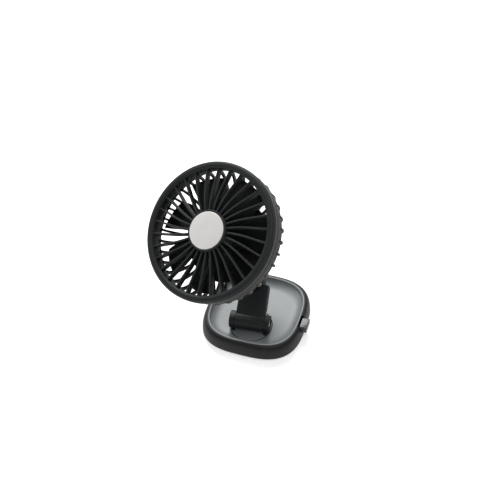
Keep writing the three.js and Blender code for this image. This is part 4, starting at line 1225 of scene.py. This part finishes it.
@dataclass(frozen=True)
class Knuckle:
    """The stem in the arm's collar with the cross barrel of the tilt hinge."""

    stem_radius: float = 5.0
    groove_radius: float = 3.6
    flange_radius: float = 8.2
    flange_bottom: float = 44.4
    flange_top: float = 46.6
    groove: Point = (34.3, 35.7)
    neck: float = 4.6
    barrel_radius: float = 5.8
    barrel_half: float = 6.5
    wire_hole: float = 2.0
    reach: float = 57.1

    def build(self) -> None:
        """Builds and dresses the knuckle."""
        low, high = self.groove
        stem, inner = self.stem_radius, self.groove_radius
        body = spun([
            (0.0, low - 1), (stem, low - 1), (stem, low), (inner, low), (inner, high), (stem, high),
            (stem, self.flange_bottom), (self.flange_radius, self.flange_bottom),
            (self.flange_radius, self.flange_top), (0.0, self.flange_top),
        ], 80)
        neck = block((-self.neck, -self.neck, self.flange_top - 1), (self.neck, self.neck, self.reach))
        barrel = cross_rod(self.barrel_radius, -self.barrel_half, self.barrel_half, 80).shift(z=self.reach)
        body.join(neck.rounded(0.8, 4), barrel)
        wire_way = rod(self.wire_hole, low - 2, self.flange_bottom + 1, 32)
        body.cut(cross_rod(2.3, -9, 9, 32).shift(z=self.reach), wire_way)
        body.rounded(0.35, 3)
        body.finish("knuckle_moulding", places.knuckle, Finish.BLACK, "knuckle", ["swivel_knuckle"])
        dress_nodes(Finish.STEEL, "swivel_clip")


# ---------------------------------------------------------------- head


@dataclass(frozen=True)
class Grille:
    """The front grille: ring, fins and hub, with the satin badge."""

    ring_outer: float = 52.0
    ring_inner: float = 46.4
    ring_depth: float = 6.8
    spigot_outer: float = 49.3
    spigot_inner: float = 47.0
    spigot_depth: float = 11.0
    hub_radius: float = 15.3
    hub_rim: float = 1.2
    hub_front: float = -0.2
    rim_height: float = 1.1
    hub_depth: float = 5.7
    fins: int = 30
    fin_thickness: float = 1.3
    fin_depth: float = 5.4
    dome: float = 1.1
    outer_front: float = -1.5
    sweep: float = 5.0
    badge_thickness: float = 1.4

    def build(self) -> None:
        """Builds and dresses the grille and badge."""
        self.ring()
        self.fin_row()
        self.hub()
        self.badge()

    def ring(self) -> None:
        """The ring: rolled inner edge, crowned face and a groove round its outside."""
        outer, inner, deep = self.ring_outer, self.ring_inner, self.ring_depth
        face = [
            (inner, -deep), (inner, -1.4), (inner + 1.2, -0.25), ((inner + outer) / 2 - 0.4, 0.0),
            (outer - 1.5, -0.3), (outer - 0.3, -1.3), (outer - 0.3, -1.9), (outer - 1.8, -2.1),
            (outer - 1.8, -2.8), (outer, -3.2), (outer, -deep),
            (self.spigot_outer, -deep), (self.spigot_outer, -self.spigot_depth),
            (self.spigot_inner, -self.spigot_depth), (self.spigot_inner, -deep),
        ]
        body = spun(looped(face, 1.1, 4), 192)
        body.finish("grille_ring", places.head, Finish.CHARCOAL, "head", ["front_grille"])

    def fin_row(self) -> None:
        """The swept, domed guard fins."""
        start, end = self.hub_radius - 1.0, self.ring_inner + 1.0

        def point(along: float, across: float) -> Point3:
            """A point of one fin's middle surface.

            Args:
                along: The share of its length.
                across: The share of its height.

            Returns:
                The point.
            """
            radius = start + (end - start) * along
            turn = -math.radians(self.sweep) * along * along * (3 - 2 * along)
            reach = (radius - self.hub_radius) / (self.ring_inner - self.hub_radius)
            front = self.outer_front + self.dome * (1 - reach * reach)
            return (radius * math.cos(turn), radius * math.sin(turn), front - self.fin_depth * (1 - across))

        row = blade_row(2, 16, point, self.fin_thickness, self.fins, 0.42)
        row.finish("grille_fins", places.head, Finish.CHARCOAL, "head", ["front_grille"])

    def hub(self) -> None:
        """The hub with its raised rim."""
        radius, top, front = self.hub_radius, self.hub_front + self.rim_height, self.hub_front
        profile = [
            (0.0, front - self.hub_depth), (radius, front - self.hub_depth), (radius, top),
            (radius - self.hub_rim, top), (radius - self.hub_rim, front), (0.0, front),
        ]
        body = spun(fillet(profile, 0.35, 3), 128)
        body.finish("grille_hub", places.head, Finish.CHARCOAL, "head", ["front_grille"])

    def badge(self) -> None:
        """The plain satin badge, slightly crowned."""
        radius = self.hub_radius - self.hub_rim - GAP
        bottom = self.hub_front + GAP
        top = bottom + self.badge_thickness
        profile = [(0.0, bottom), (radius, bottom), (radius, top - 0.3), (radius - 0.35, top - 0.08)]
        profile += [(radius * 0.5, top - 0.02), (0.0, top)]
        spun(fillet(profile, 0.2, 3), 128).finish(
            "badge_disc", places.head, Finish.SILVER, "head", ["hub_badge"]
        )


@dataclass(frozen=True)
class Housing:
    """The rear housing: band, cage ribs, centre plate, motor cup and bump."""

    band_outer: float = 51.4
    band_wall: float = 1.8
    band_front: float = -7.4
    band_depth: float = 10.0
    depth: float = 34.0
    ribs: int = 36
    rib_thickness: float = 1.7
    rib_height: float = 3.2
    rib_lap: float = 2.0
    plate_radius: float = 33.0
    rib_foot: float = 29.0
    plate_thickness: float = 2.6
    bump_radius: float = 16.5
    bump_depth: float = 18.0
    cup_inner: float = 12.3
    cup_wall: float = 2.0
    cup_front: float = -28.5
    cup_bottom: float = -49.5
    screw_sink: float = 2.1
    screw_seat: float = 1.1
    screw_reach: float = 8.0
    wire_hole: float = 2.5
    corner_power: float = 2.0

    def build(self) -> None:
        """Builds and dresses the housing."""
        self.band()
        self.rib_row()
        self.centre()

    def band(self) -> None:
        """The band behind the ring, with a shallow bead round it."""
        outer, back = self.band_outer, self.band_front - self.band_depth
        inner, middle = outer - self.band_wall, self.band_front - self.band_depth / 2
        profile = [
            (inner, back), (outer - 0.4, back), (outer - 0.4, middle - 0.5), (outer, middle),
            (outer, self.band_front), (inner, self.band_front),
        ]
        body = spun(looped(profile, 0.35, 3), 192)
        body.finish("housing_band", places.head, Finish.HOUSING, "head", ["rear_housing"])

    def rib_row(self) -> None:
        """The ribs that curve from the band to the centre plate."""
        band_end = self.band_front - self.band_depth + 0.2
        power = 2 / self.corner_power
        straight = 0.06

        def curve(along: float, inset: float) -> Point:
            """A point of the cage's outline.

            Args:
                along: The share of its length.
                inset: How far inside the outline it is.

            Returns:
                Its radius and height.
            """
            angle = math.pi / 2 * along
            radial = self.band_outer - self.rib_foot - inset
            axial = self.depth + band_end - inset
            return (
                self.rib_foot + radial * max(0.0, math.cos(angle)) ** power,
                band_end - axial * math.sin(angle) ** power,
            )

        def point(along: float, across: float) -> Point3:
            """A point of one rib's middle surface.

            Args:
                along: The share of its length.
                across: The share of its height.

            Returns:
                The point.
            """
            share = (along - straight) / (1 - straight)
            if share < 0:
                lead = self.rib_lap * share / straight
                return (self.band_outer - self.rib_height * across, 0.0, band_end - lead)
            radius, height = curve(share, self.rib_height * across)
            return (radius, 0.0, height)

        row = blade_row(2, 20, point, self.rib_thickness, self.ribs, 0.4)
        row.finish("housing_ribs", places.head, Finish.HOUSING, "head", ["rear_housing"])

    def centre(self) -> None:
        """The centre plate with the motor cup in front and the bump behind."""
        cup_outer = self.cup_inner + self.cup_wall
        back = -self.depth
        profile = [
            (0.0, back - self.bump_depth), (self.bump_radius, back - self.bump_depth),
            (self.bump_radius, back), (self.plate_radius, back),
            (self.plate_radius, back + self.plate_thickness), (cup_outer, back + self.plate_thickness),
            (cup_outer, self.cup_front), (self.cup_inner, self.cup_front),
            (self.cup_inner, self.cup_bottom), (0.0, self.cup_bottom),
        ]
        body = spun(fillet(profile, 0.5, 3), 128)
        end = back - self.bump_depth
        sinks = [
            rod(self.screw_sink, end - 1, end + self.screw_seat, 32).shift(x=side * self.screw_reach)
            for side in (-1, 1)
        ]
        body.cut(rod(self.wire_hole, end - 2, self.cup_bottom + 1.5, 32), *sinks)
        body.finish("housing_centre", places.head, Finish.HOUSING, "head", ["rear_housing"])


@dataclass(frozen=True)
class Impeller:
    """The impeller: a cup in front of the motor and its pitched blades."""

    hub_radius: float = 14.5
    hub_wall: float = 1.6
    front: float = -7.0
    hub_depth: float = 19.0
    boss_radius: float = 3.0
    boss_depth: float = 12.0
    tip_radius: float = 44.0
    blades: int = 7
    blade_front: float = -10.0
    blade_depth: float = 11.0
    blade_thickness: float = 1.5
    blade_turn: float = 42.0
    tip_lead: float = 9.0
    tip_round: float = 0.25
    tip_flattening: float = 0.2

    def build(self) -> None:
        """Builds and dresses the impeller and the motor in it."""
        self.cup()
        self.blade_set()
        dress_nodes(Finish.STEEL, "motor_can", "motor_shaft", "motor_screw_1", "motor_screw_2")
        dress_nodes(Finish.NYLON, "motor_end_cap")
        dress_nodes(Finish.FERRITE, "motor_magnet_left", "motor_magnet_right")
        dress_nodes(Finish.COPPER, "motor_armature")

    def cup(self) -> None:
        """The cup with its boss on the shaft."""
        back, floor = self.front - self.hub_depth, self.front - self.hub_wall
        inner, boss_end = self.hub_radius - self.hub_wall, floor - self.boss_depth
        profile = [
            (0.0, self.front), (self.hub_radius, self.front), (self.hub_radius, back), (inner, back),
            (inner, floor), (self.boss_radius, floor), (self.boss_radius, boss_end), (1.3, boss_end),
            (1.3, -13.7), (0.0, -13.7),
        ]
        body = spun(fillet(profile, 1.2, 4), 96)
        body.finish("impeller_cup", places.head, Finish.IMPELLER, "rotor", ["impeller"])

    def blade_set(self) -> None:
        """The pitched blades."""
        root = self.hub_radius - 0.8
        span = self.tip_radius - root
        middle = self.blade_front - self.blade_depth / 2

        def point(along: float, across: float) -> Point3:
            """A point of one blade's middle surface.

            Args:
                along: The share of its length.
                across: The share of its height.

            Returns:
                The point.
            """
            side = across - 0.5
            radius = root + span * along
            kept = 1 - self.tip_round * along * along * abs(side) * 2
            turn = math.radians(self.blade_turn * side * kept + self.tip_lead * along)
            rise = (self.blade_depth - self.blade_thickness) * side * (1 - self.tip_flattening * along)
            return (radius * math.cos(turn), radius * math.sin(turn), middle + rise)

        row = blade_row(10, 14, point, self.blade_thickness * 0.9, self.blades, 0.5)
        row.finish("impeller_blades", places.head, Finish.IMPELLER, "rotor", ["impeller"])


@dataclass(frozen=True)
class Yoke:
    """The yoke that carries the head on the knuckle, with the tilt screw and its flange screws."""

    flange_radius: float = 15.4
    flange_front: float = -52.3
    flange_back: float = -54.9
    body_radius: float = 9.0
    body_flare: float = 1.0
    body_half: float = 5.8
    mouth: float = -83.6
    cheek_lap: float = 4.0
    ear_inner: float = 6.8
    ear_outer: float = 10.4
    barrel_radius: float = 5.8
    screw_reach: float = 12.7
    screw_angles: Point3 = (90.0, 210.0, 330.0)
    wire_hole: float = 2.5
    bolt: CrossBolt = CrossBolt(2.0, -9.6, 3.6, (9.0, 10.2), 0.45, 1.8, 9.4, (-10.2, -8.2), 0.6, 12.0)

    def screw_places(self) -> list[Vector]:
        """Where the flange's screws stand, at height 0."""
        angles = [math.radians(angle) for angle in self.screw_angles]
        return [Vector((math.cos(angle), math.sin(angle), 0)) * self.screw_reach for angle in angles]

    def build(self) -> None:
        """Builds and dresses the yoke."""
        self.casting()
        for solid, name, node in (
            (self.bolt.screw(), "tilt_bolt", "tilt_screw"),
            (self.bolt.nut(), "tilt_hexagon", "tilt_nut"),
        ):
            solid.shift(z=-HEAD_REACH).finish(name, places.head, Finish.STEEL, "head", [node])
        for number, reach in enumerate(self.screw_places(), 1):
            spot = Matrix.Translation((reach + Vector((0, 0, self.flange_back - GAP))) * MM)
            place = places.head @ spot @ Matrix.Rotation(math.pi, 4, "X")
            small_screw(2.0, 1.0, 1.0, 4.2).finish(
                f"yoke_bolt_{number}", place, Finish.STEEL, "head", [f"yoke_screw_{number}"]
            )

    def casting(self) -> None:
        """Flange, neck and the two ears."""
        body = rod(self.flange_radius, self.flange_back, self.flange_front, 96)
        wide, end = self.body_radius + self.body_flare, self.flange_back + 1
        neck = spun([(0, self.mouth), (self.body_radius, self.mouth), (wide, end), (0, end)])
        ears = []
        for side in (-1, 1):
            ends = sorted((side * self.ear_inner, side * self.ear_outer))
            eye = cross_rod(self.barrel_radius, *ends, 80).shift(z=-HEAD_REACH)
            lap = self.mouth + self.cheek_lap
            cheek = block((ends[0], -self.body_half, -HEAD_REACH), (ends[1], self.body_half, lap))
            ears.append(eye.join(cheek))
        body.join(neck, *ears)
        cross = [tool.shift(z=-HEAD_REACH) for tool in self.bolt.holes()]
        low, high = self.flange_back - 1, self.flange_front + 1
        holes = [rod(1.3, low, high, 24).shift(spot.x, spot.y) for spot in self.screw_places()]
        body.cut(*cross, rod(self.wire_hole, self.mouth - 2, high + 1, 32), *holes)
        body.rounded(0.35, 3)
        body.finish("yoke_moulding", places.head, Finish.BLACK, "head", ["head_yoke"])


# ---------------------------------------------------------------- studio


@dataclass(frozen=True)
class Studio:
    """Pale floor, soft lights and the camera."""

    camera_at: Point3 = (131.1, -369.8, 455.3)
    camera_right: Point3 = (0.9491, 0.3135, -0.0317)
    camera_back: Point3 = (0.2475, -0.6791, 0.6911)
    lens: float = 50.4
    floor_size: float = 6.0
    floor_glow: float = 0.45
    sky_strength: float = 0.42

    def build(self) -> None:
        """Builds the studio."""
        self.floor()
        self.sky()
        self.softbox("back_light", (-0.45, 1.1, 1.15), (0, 0, 0.02), (0.9, 0.6), 26.0)
        self.softbox("key_light", (-1.25, 0.25, 0.95), (-0.02, 0, 0.08), (0.5, 0.9), 5.0)
        self.softbox("fill_light", (0.3, -0.5, 1.6), (0, 0, 0.05), (0.8, 0.8), 7.0)
        self.camera()

    def floor(self) -> None:
        """A seamless pale floor."""
        bm = bmesh.new()
        bmesh.ops.create_grid(bm, x_segments=4, y_segments=4, size=self.floor_size / 2)
        mesh = bpy.data.meshes.new("floor")
        bm.to_mesh(mesh)
        bm.free()
        target = bpy.data.objects.new("floor", mesh)
        bpy.context.scene.collection.objects.link(target)
        material = bpy.data.materials.new("floor_paper")
        material.use_nodes = True
        shader = material.node_tree.nodes["Principled BSDF"]
        shader.inputs["Base Color"].default_value = grey(0.85)
        shader.inputs["Roughness"].default_value = 0.9
        shader.inputs["Emission Color"].default_value = grey(1.0)
        shader.inputs["Emission Strength"].default_value = self.floor_glow
        mesh.materials.append(material)

    def sky(self) -> None:
        """Plain soft light from all round."""
        world = bpy.data.worlds.new("studio")
        world.use_nodes = True
        background = world.node_tree.nodes["Background"]
        background.inputs["Color"].default_value = (0.97, 0.985, 1.0, 1.0)
        background.inputs["Strength"].default_value = self.sky_strength
        bpy.context.scene.world = world
        bpy.context.scene.view_settings.view_transform = "Standard"

    def softbox(self, name: str, place: Point3, target: Point3, size: Point, power: float) -> None:
        """One rectangular soft light.

        Args:
            name: Its name.
            place: Where it is, in metres.
            target: What it points at.
            size: Its width and height, in metres.
            power: Its power, in watts.
        """
        light = bpy.data.lights.new(name, "AREA")
        light.shape = "RECTANGLE"
        light.size, light.size_y = size
        light.energy = power
        lamp = bpy.data.objects.new(name, light)
        lamp.location = place
        lamp.rotation_euler = (Vector(target) - Vector(place)).to_track_quat("-Z", "Y").to_euler()
        bpy.context.scene.collection.objects.link(lamp)

    def camera(self) -> None:
        """The camera, looking down at the fan from its right front."""
        lens = bpy.data.cameras.new("camera")
        lens.lens = self.lens
        lens.sensor_width = 36.0
        lens.clip_start, lens.clip_end = 0.01, 20.0
        back = Vector(self.camera_back).normalized()
        right = Vector(self.camera_right)
        right = (right - back * right.dot(back)).normalized()
        turned = Matrix((right, back.cross(right), back)).transposed().to_4x4()
        target = bpy.data.objects.new("camera", lens)
        target.matrix_world = Matrix.Translation(Vector(self.camera_at) * MM) @ turned
        bpy.context.scene.collection.objects.link(target)
        bpy.context.scene.camera = target


def main() -> None:
    """Builds the fan and its studio."""
    logging.basicConfig(level=logging.INFO, format="%(message)s")
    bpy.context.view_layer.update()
    Studio().build()
    for part in (Base(), Turntable(), Arm(), Knuckle(), Grille(), Housing(), Impeller(), Yoke()):
        part.build()
        log.info("%s is done", type(part).__name__)


if __name__ == "__main__":
    main()
